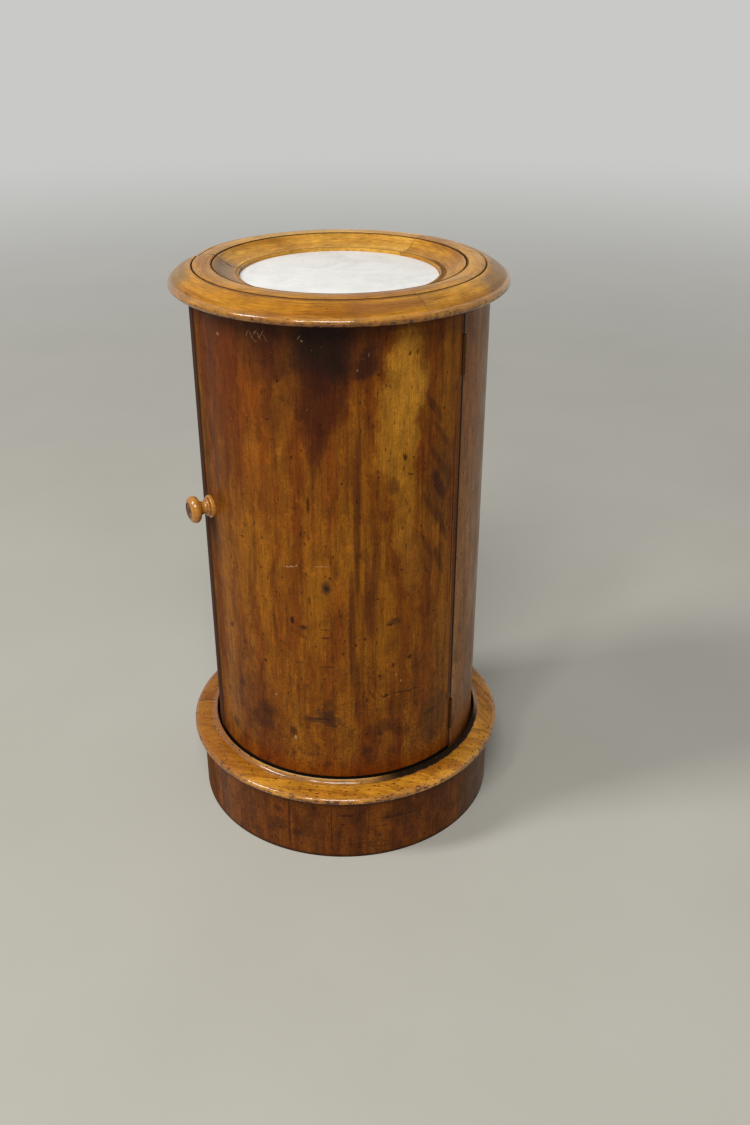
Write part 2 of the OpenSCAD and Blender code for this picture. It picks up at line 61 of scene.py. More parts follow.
MM = 0.001


# ---------------------------------------------------------------- camera

# The photograph was taken from in front, a little to the right, looking down
IMAGE_HEIGHT = 1125
FOCAL_PIXELS = 1122.46
SENSOR_WIDTH = 36
CAMERA_PLACE = (0.2363, -1.2941, 1.0369)
CAMERA_HEADING = math.radians(-8.54)
CAMERA_DIP = 0.4931

camera = bpy.data.objects.new("camera", bpy.data.cameras.new("camera"))
bpy.context.scene.collection.objects.link(camera)
bpy.context.scene.camera = camera
camera.data.sensor_width = SENSOR_WIDTH
camera.data.lens = SENSOR_WIDTH * FOCAL_PIXELS / IMAGE_HEIGHT
camera.data.clip_start = 0.05
camera.data.clip_end = 200
camera.location = CAMERA_PLACE
ahead, down = math.cos(CAMERA_DIP), math.sin(CAMERA_DIP)
looking = Vector((math.sin(CAMERA_HEADING) * ahead, math.cos(CAMERA_HEADING) * ahead, -down))
camera.rotation_euler = looking.to_track_quat("-Z", "Y").to_euler()


# ---------------------------------------------------------------- sizes, from the construction

ring_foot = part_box("ring_length_back")[0].z
cap_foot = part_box("cap_length_front")[0].z
marble_lo, marble_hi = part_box("marble_disc")
# Radii of the body, the ring and the well in it, the cap and its inner edge, and the plinth's drum
BODY_R = 177 * MM
RING_R = 199.5 * MM
WELL_R = 117.2 * MM
CAP_R = cad_box[1][1]
CAP_IN = 181 * MM
DRUM_R = 201 * MM
KNOB_ANGLE, KNOB_Z = -54.188, 452 * MM
# Where each curved length starts and ends, in degrees from the middle of the door
RING_JOINTS = {"left": (-89.4, 38.5), "right": (38.5, 150), "back": (150, 270.6)}
CAP_JOINTS = {"front": (-84.4, 78.9), "back": (78.9, 177), "left": (177, 275.6)}


def spot(angle, radius, height):
    """A point at an angle, counted from the middle of the door towards the hinges."""
    a = math.radians(angle)
    return Vector((radius * math.sin(a), -radius * math.cos(a), height))


# ---------------------------------------------------------------- colour and shader nodes


def linear(hexa):
    """An sRGB hex colour as a linear one."""
    parts = [int(hexa[i : i + 2], 16) / 255 for i in (1, 3, 5)]
    return tuple(c / 12.92 if c <= 0.04045 else ((c + 0.055) / 1.055) ** 2.4 for c in parts) + (1,)


def add(tree, kind, fill=None, **settings):
    """Adds a shader node, sets it up, and fills its sockets with values or with other nodes' outputs."""
    made = tree.nodes.new("ShaderNode" + kind)
    for name, value in settings.items():
        setattr(made, name, value)
    for socket, value in (fill or {}).items():
        if isinstance(value, bpy.types.NodeSocket):
            tree.links.new(value, made.inputs[socket])
        else:
            made.inputs[socket].default_value = value
    return made


def new_material(name):
    """An empty material, and its node tree."""
    material = bpy.data.materials.new(name)
    material.use_nodes = True
    material.node_tree.nodes.clear()
    return material, material.node_tree


def finish_surface(tree, colour, roughness, bump, **sockets):
    """The shader at the end of a material."""
    fill = {"Base Color": colour, "Roughness": roughness, "Normal": bump, **sockets}
    shader = add(tree, "BsdfPrincipled", fill)
    add(tree, "OutputMaterial", {"Surface": shader.outputs[0]})


def unrolled(tree, radius):
    """The skin of the round body laid flat: metres round it from the middle of the door, and height."""
    place = add(tree, "TexCoord").outputs["Object"]
    part = add(tree, "SeparateXYZ", {0: place})
    front = add(tree, "Math", {0: part.outputs["Y"], 1: -1.0}, operation="MULTIPLY")
    angle = add(tree, "Math", {0: part.outputs["X"], 1: front.outputs[0]}, operation="ARCTAN2")
    arc = add(tree, "Math", {0: angle.outputs[0], 1: radius}, operation="MULTIPLY")
    return add(tree, "CombineXYZ", {"X": arc.outputs[0], "Z": part.outputs["Z"]}).outputs[0]


def figure(tree, place, across, along, shift, detail, rough):
    """Figure of the wood: blotches so wide across the grain and so long along it, from 0 to 1."""
    lay = {"Vector": place, "Location": (shift, shift, shift), "Scale": (1 / across, 1 / across, 1 / along)}
    run = add(tree, "Mapping", lay)
    noise = {"Vector": run.outputs[0], "Scale": 1.0, "Detail": detail, "Roughness": rough}
    return add(tree, "TexNoise", noise).outputs["Fac"]


def ragged(tree, place, size, reach):
    """The place, pushed about a little so that a mark's edge is ragged."""
    noise = add(tree, "TexNoise", {"Vector": place, "Scale": 1 / size, "Detail": 6.0, "Roughness": 0.7})
    centred = add(tree, "VectorMath", {0: noise.outputs["Color"], 1: (0.5, 0.5, 0.5)}, operation="SUBTRACT")
    pushed = add(tree, "VectorMath", {0: centred.outputs[0], 1: (reach, 0, reach * 2)}, operation="MULTIPLY")
    return add(tree, "VectorMath", {0: place, 1: pushed.outputs[0]}, operation="ADD").outputs[0]


def outside(tree, place, radius, strength):
    """The strength beyond a distance from the middle of the cupboard, and 0 within it."""
    part = add(tree, "SeparateXYZ", {0: place})
    flat = add(tree, "CombineXYZ", {"X": part.outputs["X"], "Y": part.outputs["Y"]})
    out = add(tree, "VectorMath", {0: flat.outputs[0]}, operation="LENGTH").outputs["Value"]
    far = {"Value": out, "From Min": radius - 1.5 * MM, "From Max": radius, "To Max": strength}
    return add(tree, "MapRange", far).outputs[0]


def toned(tree, base, pattern, low, high, first, last):
    """The colour times a factor that goes from first to last while a pattern goes from low to high."""
    run = {"Value": pattern, "From Min": low, "From Max": high, "To Min": first, "To Max": last}
    factor = add(tree, "MapRange", run)
    both = {0: 1.0, 6: base, 7: factor.outputs[0]}
    return add(tree, "Mix", both, data_type="RGBA", blend_type="MULTIPLY").outputs[2]


def washed(tree, base, hexa, pattern, low, high, strength):
    """The colour under another one, laid on up to a strength while a pattern goes from low to high."""
    cover = add(tree, "MapRange", {"Value": pattern, "From Min": low, "From Max": high, "To Max": strength})
    return add(tree, "Mix", {0: cover.outputs[0], 6: base, 7: linear(hexa)}, data_type="RGBA").outputs[2]


def stain(tree, place, colour, mark, radius):
    """The colour with one mark on it, as the tables below give it, on a skin laid flat."""
    angle, height, wide, tall, tilt, hexa, strength = mark
    lean, centre = math.radians(tilt), (math.radians(angle) * radius, 0, height * MM)
    across = (math.cos(lean) / (wide * MM), 0, -math.sin(lean) / (wide * MM))
    along = (math.sin(lean) / (tall * MM), 0, math.cos(lean) / (tall * MM))
    off = add(tree, "VectorMath", {0: place, 1: centre}, operation="SUBTRACT").outputs[0]
    side = add(tree, "VectorMath", {0: off, 1: across}, operation="DOT_PRODUCT").outputs["Value"]
    up = add(tree, "VectorMath", {0: off, 1: along}, operation="DOT_PRODUCT").outputs["Value"]
    square = add(tree, "Math", {0: side, 1: side}, operation="MULTIPLY").outputs[0]
    reach = add(tree, "Math", {0: up, 1: up, 2: square}, operation="MULTIPLY_ADD").outputs[0]
    fade = {"Value": reach, "From Min": 1.0, "From Max": 0.1, "To Max": strength}
    cover = add(tree, "MapRange", fade, interpolation_type="SMOOTHSTEP").outputs[0]
    return add(tree, "Mix", {0: cover, 6: colour, 7: linear(hexa)}, data_type="RGBA").outputs[2]


def dashes(tree, place, across, along, size, share):
    """Short flecks lying along the grain, in a share of cells so wide and so long, from 0 to 1."""
    run = add(tree, "Mapping", {"Vector": place, "Scale": (1 / across, 1 / across, 1 / along)})
    cells = add(tree, "TexVoronoi", {"Vector": run.outputs[0], "Scale": 1.0, "Randomness": 1.0})
    near = {"Value": cells.outputs["Distance"], "From Min": size, "From Max": size * 0.5}
    inside = add(tree, "MapRange", near)
    pick = add(tree, "SeparateXYZ", {0: cells.outputs["Color"]})
    spare = add(tree, "Math", {0: share, 1: pick.outputs["X"]}, operation="SUBTRACT")
    chosen = add(tree, "MapRange", {"Value": spare.outputs[0], "From Max": 0.05})
    return add(tree, "Math", {0: inside.outputs[0], 1: chosen.outputs[0]}, operation="MULTIPLY").outputs[0]


# ---------------------------------------------------------------- polished woods

# Marks on the polish, listed as (angle from the middle of the door, height, half width and half
# height in mm, tilt in degrees, colour, strength). Stains are broad and soft, and their edges wander
# more than those of the smaller marks. The last two door marks are a painted reflection and the knob's
# painted shadow
DOOR_STAINS = (
    (-42, 610, 54, 190, 0, "#5a2a0b", 0.55),
    (-30, 190, 70, 80, 0, "#5c2f0e", 0.4),
    (-6, 704, 116, 62, 0, "#44200f", 0.7),
    (-40, 650, 60, 110, 0, "#6a2e0a", 0.5),
    (-24, 560, 40, 120, 0, "#7c3a0c", 0.35),
    (-20, 672, 44, 44, 0, "#48210f", 0.5),
    (2, 652, 50, 70, 0, "#3c1a0d", 0.6),
    (4, 672, 44, 50, 0, "#1b110c", 0.85),
    (21, 664, 24, 26, 0, "#2b160f", 0.75),
    (2, 612, 32, 62, 0, "#3a1309", 0.7),
    (1, 572, 16, 46, 0, "#43160a", 0.55),
    (-13, 640, 22, 96, 0, "#4c220c", 0.55),
    (35, 640, 26, 76, 0, "#be8228", 0.85),
    (31, 585, 32, 74, 0, "#b67a22", 0.75),
    (33, 500, 20, 90, 0, "#ae721e", 0.65),
    (36, 420, 16, 60, 0, "#9c6420", 0.4),
    (50, 500, 17, 60, 6, "#3c1f14", 0.6),
    (-45, 560, 7, 200, 0, "#52270f", 0.5),
    (-38, 330, 6, 170, 0, "#57290f", 0.45),
    (1, 203, 36, 10, 0, "#2a1f18", 0.6),
    (-26, 190, 26, 22, 0, "#3c1e0e", 0.5),
    (26, 180, 30, 20, 0, "#3a1c0d", 0.5),
    (50, 175, 26, 40, 0, "#3c2110", 0.5),
)
DOOR_MARKS = (
    (15.4, 470, 5, 150, 0, "#43180a", 0.7),
    (16.5, 540, 3.5, 80, 0, "#43180a", 0.5),
    (13.2, 330, 6, 110, 0, "#45190b", 0.65),
    (20.5, 375, 10, 76, 0, "#502210", 0.6),
    (23, 430, 5, 60, 0, "#4a1e0c", 0.5),
    (15, 250, 5, 60, 0, "#451a0c", 0.55),
    (46, 600, 6, 30, -32, "#452010", 0.6),
    (50, 566, 5, 30, -34, "#45200f", 0.55),
    (47.5, 540, 6, 24, -30, "#43200f", 0.55),
    (49, 505, 8, 30, -24, "#3a1c11", 0.7),
    (45, 480, 5, 30, -28, "#4a2310", 0.55),
    (51, 452, 6, 32, -22, "#42200f", 0.6),
    (44, 430, 5, 26, -26, "#4a2310", 0.5),
    (50, 405, 6, 30, -20, "#45210f", 0.55),
    (29, 516, 9, 14, 0, "#4e200e", 0.6),
    (26, 480, 6, 12, 0, "#4e200e", 0.5),
    (33.8, 549, 3.2, 6, 0, "#381809", 0.8),
    (33.8, 549, 1.4, 3, 0, "#1c0c07", 0.7),
    (36, 528, 5, 1.6, 10, "#3a170b", 0.7),
    (-2.5, 496, 2.6, 14, 0, "#3a1608", 0.8),
    (35.2, 668, 2, 4.6, 20, "#280f08", 0.8),
    (-10.3, 342, 3.6, 7, -10, "#24100d", 0.85),
    (-5.8, 334, 5, 4.4, 0, "#2c1410", 0.8),
    (3.6, 390, 8, 12, 0, "#3a2418", 0.7),
    (3.6, 390, 4, 4.4, 0, "#191210", 0.75),
    (-3, 372, 2, 8, 0, "#3c1a0c", 0.6),
    (29.9, 339, 11, 6, 0, "#3a1e14", 0.65),
    (28, 336, 5, 3, 0, "#20140f", 0.7),
    (36.8, 284, 5, 3, -30, "#281611", 0.8),
    (29.7, 276, 3, 5, 0, "#42180c", 0.8),
    (-23.3, 274, 4.4, 2.6, 0, "#220f0a", 0.85),
    (-42.4, 303, 4.4, 6, 30, "#32190e", 0.7),
    (48.4, 338, 6, 1.6, 0, "#24150f", 0.8),
    (-34.6, 289, 1.4, 7, -35, "#3a1a0c", 0.8),
    (-30, 281, 1.2, 10, -35, "#4a220e", 0.65),
    (-26.5, 270, 1, 8, -30, "#4a220e", 0.5),
    (2.6, 333, 8, 1, 0, "#32180c", 0.8),
    (2.8, 322, 9, 1.2, 3, "#32180c", 0.8),
    (5.4, 327, 1, 6, 0, "#3c1c0d", 0.65),
    (0.6, 340, 1, 5, 0, "#3c1c0d", 0.5),
    (4, 281, 14, 1, -3, "#3c1a0c", 0.6),
    (-8, 284, 7, 0.9, -12, "#3c1a0c", 0.5),
    (35.5, 234, 28, 1, 3, "#2c130a", 0.9),
    (26.5, 233, 6, 3, -8, "#301409", 0.8),
    (20.8, 238, 1.3, 10, -22, "#2c130b", 0.8),
    (0.3, 203, 22, 2.2, 0, "#1e1712", 0.6),
    (-11.8, 178, 7, 10, 0, "#2a1a12", 0.7),
    (19.2, 154, 9, 8, 0, "#2c1a12", 0.6),
    (24.4, 177, 5, 4, 0, "#2c1a12", 0.6),
    (47.3, 189, 12, 4, -8, "#261811", 0.6),
    (-23.9, 197, 10, 3, 0, "#2e1b11", 0.55),
    (-44.3, 150, 9, 9, 0, "#341d10", 0.55),
    (-32, 438, 4, 1.4, 0, "#34180c", 0.7),
    (-22, 445, 3, 3, 0, "#34180c", 0.6),
    (-30, 455, 3, 4, 0, "#34180c", 0.5),
    (33, 462, 2, 4, 0, "#34180c", 0.7),
    (42, 442, 2.4, 4, 0, "#34180c", 0.6),
    (44, 398, 1, 9, -30, "#2c140b", 0.8),
    (-10.6, 414.5, 9.5, 0.7, -3, "#c9a478", 0.7),
    (2.4, 419, 12, 0.6, 0, "#c9a478", 0.6),
    (-7.8, 416, 1.1, 1.4, 0, "#dcc5a4", 0.8),
    (-10.9, 169, 1.1, 3.6, -10, "#cdbda6", 0.8),
    (33, 252, 1.1, 3, 0, "#bf9058", 0.7),
    (31, 262, 1, 3.4, 0, "#bf9058", 0.6),
    (-19, 228, 1.6, 2.6, 0, "#b2906a", 0.6),
    (-23.6, 688, 0.7, 5, 30, "#a98465", 0.7),
    (-22, 686, 0.7, 6, -28, "#a98465", 0.7),
    (-20.4, 690, 0.7, 5, 34, "#b08b6a", 0.75),
    (-18.8, 686, 0.7, 6, -24, "#a98465", 0.75),
    (-17.6, 690, 0.7, 6, 28, "#b08b6a", 0.75),
    (-16.2, 685, 0.7, 6, -34, "#9c785a", 0.7),
    (-20.6, 681, 3, 0.7, 12, "#9c785a", 0.6),
    (-4, 690, 0.8, 4, 40, "#a98465", 0.7),
    (-3, 686, 1.4, 1.4, 0, "#a98465", 0.6),
    (-38.8, 678, 3, 1.4, 0, "#a98465", 0.6),
    (20, 671, 1.1, 3, 0, "#7d6a5c", 0.5),
    (16, 655, 1.2, 1.2, 0, "#a89682", 0.6),
    # Painted reflection: an olive band down the door between its closing edge and the knob
    (-54.5, 430, 8, 330, 0, "#54401c", 0.5),
    # The knob's painted shadow on the door, just below it
    (-52.4, 425, 9, 34, 0, "#38290f", 0.75),
)
# Painted shade in the seam down the hinge edge of the door, the dark line where its lipping starts, and
# painted shade down its closing edge. Their strength is left out, because it ends behind the outer skin
SEAMS = (
    (60.6, 400, 2.5, 900, 0, "#0e0703"),
    (57.4, 440, 1.1, 170, 0, "#241008"),
    (-65, 400, 29, 2000, 0, "#2e150a"),
)
# Painted shade on the wall beside the closing edge, fading away towards the back
SIDE_PAINTED_SHADE = (
    (-61, 400, 58, 2000, 0, "#2e150a", 0.94),
    (-72, 470, 36, 150, 0, "#3c1c0c", 0.6),
)
# The plinth, with the two joints of its veneer in front, and painted shade on its two ends
PLINTH_STAINS_AND_SHADE = (
    (-3.5, 52, 26, 70, 0, "#4b240c", 0.5),
    (-30, 62, 24, 40, 0, "#54290c", 0.5),
    (32, 58, 44, 14, 0, "#3c1a0a", 0.45),
    # Olive and darker on the left and right ends: painted shade where the plinth turns away
    (-66, 50, 46, 90, 0, "#5c4420", 0.4),
    (68, 50, 46, 90, 0, "#58401e", 0.4),
    (34, 30, 30, 16, 0, "#6e3410", 0.5),
    (-14, 66, 14, 22, 0, "#84420e", 0.5),
)
PLINTH_MARKS = (
    (-11.9, 47, 0.9, 60, 0, "#220e07", 0.75),
    (-10.8, 47, 1.0, 60, 0, "#9a5a22", 0.5),
    (4.4, 47, 0.8, 60, 0, "#220e07", 0.8),
    (-26, 47, 1.2, 50, 0, "#7c4216", 0.4),
    (10, 70, 14, 3, 0, "#2c1309", 0.7),
    (-2, 78, 4, 4, 0, "#2c1309", 0.6),
    (28, 60, 34, 2, 3, "#2a1209", 0.65),
    (22, 48, 22, 1.2, 0, "#34180b", 0.6),
    (16, 22, 40, 1.0, 0, "#301509", 0.6),
    (24, 14, 30, 1.2, 0, "#2a1209", 0.6),
    (-16, 66, 8, 6, 20, "#2e1409", 0.6),
    (-20, 30, 14, 1.4, 10, "#2e1409", 0.5),
)


def polish_sheen(tree, place):
    """How dull the old french polish is, with rubbed and handled places, as roughness."""
    cloud = add(tree, "TexNoise", {"Vector": place, "Scale": 1 / 0.045, "Detail": 5.0, "Roughness": 0.6})
    dull = {"Value": cloud.outputs["Fac"], "From Min": 0.3, "From Max": 0.75, "To Min": 0.24, "To Max": 0.46}
    return add(tree, "MapRange", dull).outputs[0]


def polish_bump(tree, place, grain, knocks):
    """Open grain that the polish has sunk into, and shallow knocks."""
    dents = add(tree, "TexVoronoi", {"Vector": place, "Scale": 1 / knocks, "Randomness": 1.0}, feature="F1")
    pit = add(tree, "MapRange", {"Value": dents.outputs["Distance"], "From Min": 0.12, "From Max": 0.0})
    height = add(tree, "Math", {0: pit.outputs[0], 1: -0.7, 2: grain}, operation="MULTIPLY_ADD")
    relief = {"Strength": 0.25, "Distance": 0.25 * MM, "Height": height.outputs[0]}
    return add(tree, "Bump", relief).outputs[0]


# Knife-cut veneer of a pale, close-grained hardwood, stained red-brown and french polished: satin figure
# that runs up in soft bands, short dark pores, and a thin warm gloss that wear has dulled. Fibres and
# pores are drawn several times coarser than the real ones, which wouldn't show
def veneer(name, radius, woods, stains_and_shade, marks, seams, gloss, shift, foot, head):
    """Polished veneer on a curved face, with its grain upright.

    The woods are its lighter and darker colour and its streaks. It darkens towards its foot and its
    head: (height where that starts, height where it is full, both in mm, colour, strength).
    """
    light, dark, streak = woods
    material, tree = new_material(name)
    sheet = unrolled(tree, radius)
    wander = ragged(tree, sheet, 52 * MM, 46 * MM)
    edge = ragged(tree, sheet, 8 * MM, 5 * MM)
    broad = figure(tree, wander, across=30 * MM, along=260 * MM, shift=shift, detail=5.0, rough=0.6)
    mottle = figure(tree, wander, across=13 * MM, along=30 * MM, shift=shift + 11, detail=5.0, rough=0.65)
    band = figure(tree, edge, across=7 * MM, along=150 * MM, shift=shift + 7, detail=4.0, rough=0.6)
    fibre = figure(tree, sheet, across=1.1 * MM, along=40 * MM, shift=shift + 3, detail=3.0, rough=0.65)
    grime = figure(tree, sheet, across=22 * MM, along=26 * MM, shift=shift + 17, detail=6.0, rough=0.7)
    speckle = figure(tree, sheet, across=2.4 * MM, along=3.2 * MM, shift=shift + 23, detail=4.0, rough=0.75)
    pores = dashes(tree, edge, across=5 * MM, along=19 * MM, size=0.2, share=0.55)
    level = add(tree, "SeparateXYZ", {0: edge}).outputs["Z"]
    low = {"Value": level, "From Min": 330 * MM, "From Max": 150 * MM, "To Min": 0.12, "To Max": 0.55}
    scuffed = add(tree, "MapRange", low).outputs[0]
    scuffs = dashes(tree, edge, across=24 * MM, along=4 * MM, size=0.16, share=scuffed)
    dots = dashes(tree, edge, across=14 * MM, along=14 * MM, size=0.15, share=0.4)
    pale = dashes(tree, edge, across=9 * MM, along=12 * MM, size=0.08, share=0.5)

    # The stained wood, and the bands of its figure
    swell = {"Value": broad, "From Min": 0.36, "From Max": 0.64}
    tone = add(tree, "MapRange", swell, interpolation_type="SMOOTHSTEP")
    woods_mixed = {0: tone.outputs[0], 6: linear(light), 7: linear(dark)}
    base = add(tree, "Mix", woods_mixed, data_type="RGBA").outputs[2]
    base = washed(tree, base, streak, band, 0.5, 0.74, 0.8)

    # Marks on it. The painted shade and the dark line of the seams lie only on the outer skin, and not on the
    # edges behind it
    for mark in stains_and_shade:
        base = stain(tree, wander, base, mark, radius)
    for mark in marks:
        base = stain(tree, edge, base, mark, radius)
    skin = outside(tree, add(tree, "TexCoord").outputs["Object"], radius - 1 * MM, 0.95)
    for mark in seams:
        base = stain(tree, sheet, base, (*mark, skin), radius)
    specks = (
        (pores, "#2e1308", 0.75),
        (scuffs, "#2e1308", 0.8),
        (dots, "#261008", 0.85),
        (pale, "#a8845c", 0.5),
    )
    for flecks, hexa, strength in specks:
        cover = add(tree, "Math", {0: flecks, 1: strength}, operation="MULTIPLY")
        base = add(tree, "Mix", {0: cover.outputs[0], 6: base, 7: linear(hexa)}, data_type="RGBA").outputs[2]

    # Light and shade of the figure, the fibres and the grit
    base = toned(tree, base, mottle, 0.3, 0.72, 1.25, 0.6)
    base = toned(tree, base, fibre, 0.3, 0.7, 0.68, 1.26)
    base = toned(tree, base, speckle, 0.32, 0.68, 1.14, 0.84)
    # Darker towards the foot and the head; at the head this is painted shade under the moulding above
    for from_z, to_z, hexa, strength in (foot, head):
        end = {"Value": level, "From Min": from_z * MM, "From Max": to_z * MM, "To Max": strength}
        near = add(tree, "MapRange", end, interpolation_type="SMOOTHSTEP").outputs[0]
        base = add(tree, "Mix", {0: near, 6: base, 7: linear(hexa)}, data_type="RGBA").outputs[2]

    # Dirt and bruises, most of them low down
    low = {"Value": level, "From Min": 320 * MM, "From Max": 140 * MM, "To Min": 0.25, "To Max": 1.0}
    lower = add(tree, "MapRange", low).outputs[0]
    for pattern, high, most, hexa in ((grime, 0.7, 0.85, "#2e160b"), (speckle, 0.62, 0.7, "#481f0c")):
        strong = add(tree, "MapRange", {"Value": pattern, "From Min": 0.5, "From Max": high, "To Max": most})
        cover = add(tree, "Math", {0: strong.outputs[0], 1: lower}, operation="MULTIPLY")
        base = add(tree, "Mix", {0: cover.outputs[0], 6: base, 7: linear(hexa)}, data_type="RGBA").outputs[2]
    bump = polish_bump(tree, sheet, fibre, 16 * MM)

    # Down the closing edge the polish has gone altogether
    bare_from, bare_to = (math.radians(angle) * radius for angle in (-59, -45))
    round_it = add(tree, "SeparateXYZ", {0: sheet}).outputs["X"]
    worn = {"Value": round_it, "From Min": bare_from, "From Max": bare_to}
    coat = add(tree, "MapRange", {**worn, "To Max": gloss / 3}).outputs[0]
    lost = add(tree, "MapRange", {**worn, "To Min": 0.6, "To Max": 0.0}).outputs[0]
    sheen = add(tree, "Math", {0: polish_sheen(tree, sheet), 1: lost}, operation="ADD").outputs[0]
    gloss_sockets = {"Specular IOR Level": gloss, "Coat Weight": coat, "Coat Roughness": 0.12}
    finish_surface(tree, base, sheen, bump, **gloss_sockets)
    return material


# The same hardwood in the solid, cut to a moulding, stained golden and french polished thickly: streaks
# along the grain, red-brown flecks where the edge is knocked, black dirt in the quirks, and a bright
# line of light along the nose
def moulding(name, middle, cracks, light, dark, grime, nose, flecked, shiny, follows):
    """Polished moulding, with its streaks straight across the middle of a length, or following it round.

    The nose is (radius, height, how far wear reaches up and down from there), and each shiny band is
    (radius, half width), all in mm. Flecked is the size of the flecks, as a share of their spacing.
    """
    material, tree = new_material(name)
    place = add(tree, "TexCoord").outputs["Object"]
    turn_back = (0, 0, math.radians(-middle))
    turned = add(tree, "Mapping", {"Vector": place, "Rotation": turn_back}).outputs[0]
    bend = add(tree, "SeparateXYZ", {0: turned})
    ahead = add(tree, "Math", {0: bend.outputs["Y"], 1: -1.0}, operation="MULTIPLY")
    along = add(tree, "Math", {0: bend.outputs["X"], 1: ahead.outputs[0]}, operation="ARCTAN2")
    along = add(tree, "Math", {0: along.outputs[0], 1: CAP_R}, operation="MULTIPLY")

    # Distance from the middle of the cupboard, and how far round it
    part = add(tree, "SeparateXYZ", {0: place})
    flat = add(tree, "CombineXYZ", {"X": part.outputs["X"], "Y": part.outputs["Y"]})
    out = add(tree, "VectorMath", {0: flat.outputs[0]}, operation="LENGTH").outputs["Value"]
    front = add(tree, "Math", {0: part.outputs["Y"], 1: -1.0}, operation="MULTIPLY")
    angle = add(tree, "Math", {0: part.outputs["X"], 1: front.outputs[0]}, operation="ARCTAN2").outputs[0]
    bent = {"X": along.outputs[0], "Y": out, "Z": part.outputs["Z"]}
    straight = add(tree, "CombineXYZ", bent).outputs[0]

    # Streaks, threads and clouds of the wood
    run = straight if follows else turned
    stretch = (1 / (60 * MM), 1 / (4.5 * MM), 1 / (3 * MM))
    lie = add(tree, "VectorMath", {0: run, 1: stretch}, operation="MULTIPLY").outputs[0]
    grit = {"Vector": place, "Scale": 1 / (9 * MM), "Detail": 4.0, "Roughness": 0.7}
    rough = add(tree, "TexNoise", grit).outputs["Fac"]
    streaks = {"Vector": lie, "Scale": 0.3, "Detail": 5.0, "Roughness": 0.62, "Distortion": 0.4}
    broad = add(tree, "TexNoise", streaks)
    fibres = {"Vector": lie, "Scale": 3.0, "Detail": 3.0, "Roughness": 0.65}
    fibre = add(tree, "TexNoise", fibres).outputs["Fac"]
    blotches = {"Vector": place, "Scale": 1 / (30 * MM), "Detail": 6.0, "Roughness": 0.68}
    blotch = add(tree, "TexNoise", blotches).outputs["Fac"]
    tone = add(tree, "MapRange", {"Value": broad.outputs["Fac"], "From Min": 0.34, "From Max": 0.66})
    woods_mixed = {0: tone.outputs[0], 6: linear(light), 7: linear(dark)}
    base = add(tree, "Mix", woods_mixed, data_type="RGBA").outputs[2]
    base = toned(tree, base, fibre, 0.3, 0.7, 0.66, 1.26)
    threads = {"Vector": lie, "Scale": 1.7, "Detail": 4.0, "Roughness": 0.7}
    thread = add(tree, "TexNoise", threads).outputs["Fac"]
    base = washed(tree, base, "#5a2c0c", thread, 0.58, 0.7, 0.75)
    base = toned(tree, base, blotch, 0.38, 0.7, 1.1, 0.7)

    # Dirt, painted shade, painted highlights and painted reflections round the ring, each a broad band with a
    # ragged edge or a thin line, over part of its way round
    dull = 0.0
    for radius, wide, hexa, strength, towards, reach in grime:
        off = add(tree, "Math", {0: rough, 1: wide * MM, 2: out}, operation="MULTIPLY_ADD")
        off = add(tree, "Math", {0: off.outputs[0], 1: (radius + wide / 2) * MM}, operation="SUBTRACT")
        away = add(tree, "Math", {0: off.outputs[0]}, operation="ABSOLUTE")
        ends = {"From Min": wide * MM, "From Max": wide * MM * 0.5}
        fade = {"Value": away.outputs[0], **ends, "To Max": strength}
        line = add(tree, "MapRange", fade, interpolation_type="SMOOTHSTEP").outputs[0]
        aside = add(tree, "Math", {0: angle, 1: math.radians(towards)}, operation="SUBTRACT").outputs[0]
        round_to = add(tree, "Math", {0: aside}, operation="COSINE").outputs[0]
        starts, full = math.cos(math.radians(reach)), math.cos(math.radians(reach * 0.6))
        window = {"Value": round_to, "From Min": starts, "From Max": full}
        within = add(tree, "MapRange", window, interpolation_type="SMOOTHSTEP").outputs[0]
        line = add(tree, "Math", {0: line, 1: within}, operation="MULTIPLY").outputs[0]
        base = add(tree, "Mix", {0: line, 6: base, 7: linear(hexa)}, data_type="RGBA").outputs[2]
        if strength > 0.7:
            dull = add(tree, "Math", {0: line, 1: dull}, operation="MAXIMUM").outputs[0]

    # Flecks along the grain, thicker towards the knocked edge of the nose
    fleck_stretch = (1 / (11 * MM), 1 / (2.6 * MM), 1 / (2.6 * MM))
    shaken = add(tree, "VectorMath", {0: straight, 1: fleck_stretch}, operation="MULTIPLY")
    cells = add(tree, "TexVoronoi", {"Vector": shaken.outputs[0], "Scale": 1.0, "Randomness": 1.0})
    lip_r, lip_z, reach = nose
    below = {"Value": part.outputs["Z"], "From Min": (lip_z + reach) * MM, "From Max": (lip_z - reach) * MM}
    to_edge = add(tree, "MapRange", below)
    outwards = {"Value": out, "From Min": (lip_r - 12) * MM, "From Max": (lip_r - 4) * MM}
    at_nose = add(tree, "MapRange", outwards)
    edge = add(tree, "Math", {0: to_edge.outputs[0], 1: at_nose.outputs[0]}, operation="MULTIPLY").outputs[0]
    size = add(tree, "Math", {0: edge, 1: 0.32, 2: flecked}, operation="MULTIPLY_ADD")
    uneven = {"Value": rough, "From Min": 0.35, "From Max": 0.7, "To Min": 0.2, "To Max": 1.6}
    spread = add(tree, "MapRange", uneven)
    limit = add(tree, "Math", {0: size.outputs[0], 1: spread.outputs[0]}, operation="MULTIPLY")
    over = add(tree, "Math", {0: limit.outputs[0], 1: cells.outputs["Distance"]}, operation="SUBTRACT")
    sharp = {"Value": over.outputs[0], "From Min": 0.0, "From Max": 0.05, "To Max": 0.92}
    fleck = add(tree, "MapRange", sharp).outputs[0]
    base = add(tree, "Mix", {0: fleck, 6: base, 7: linear("#4a1f0a")}, data_type="RGBA").outputs[2]
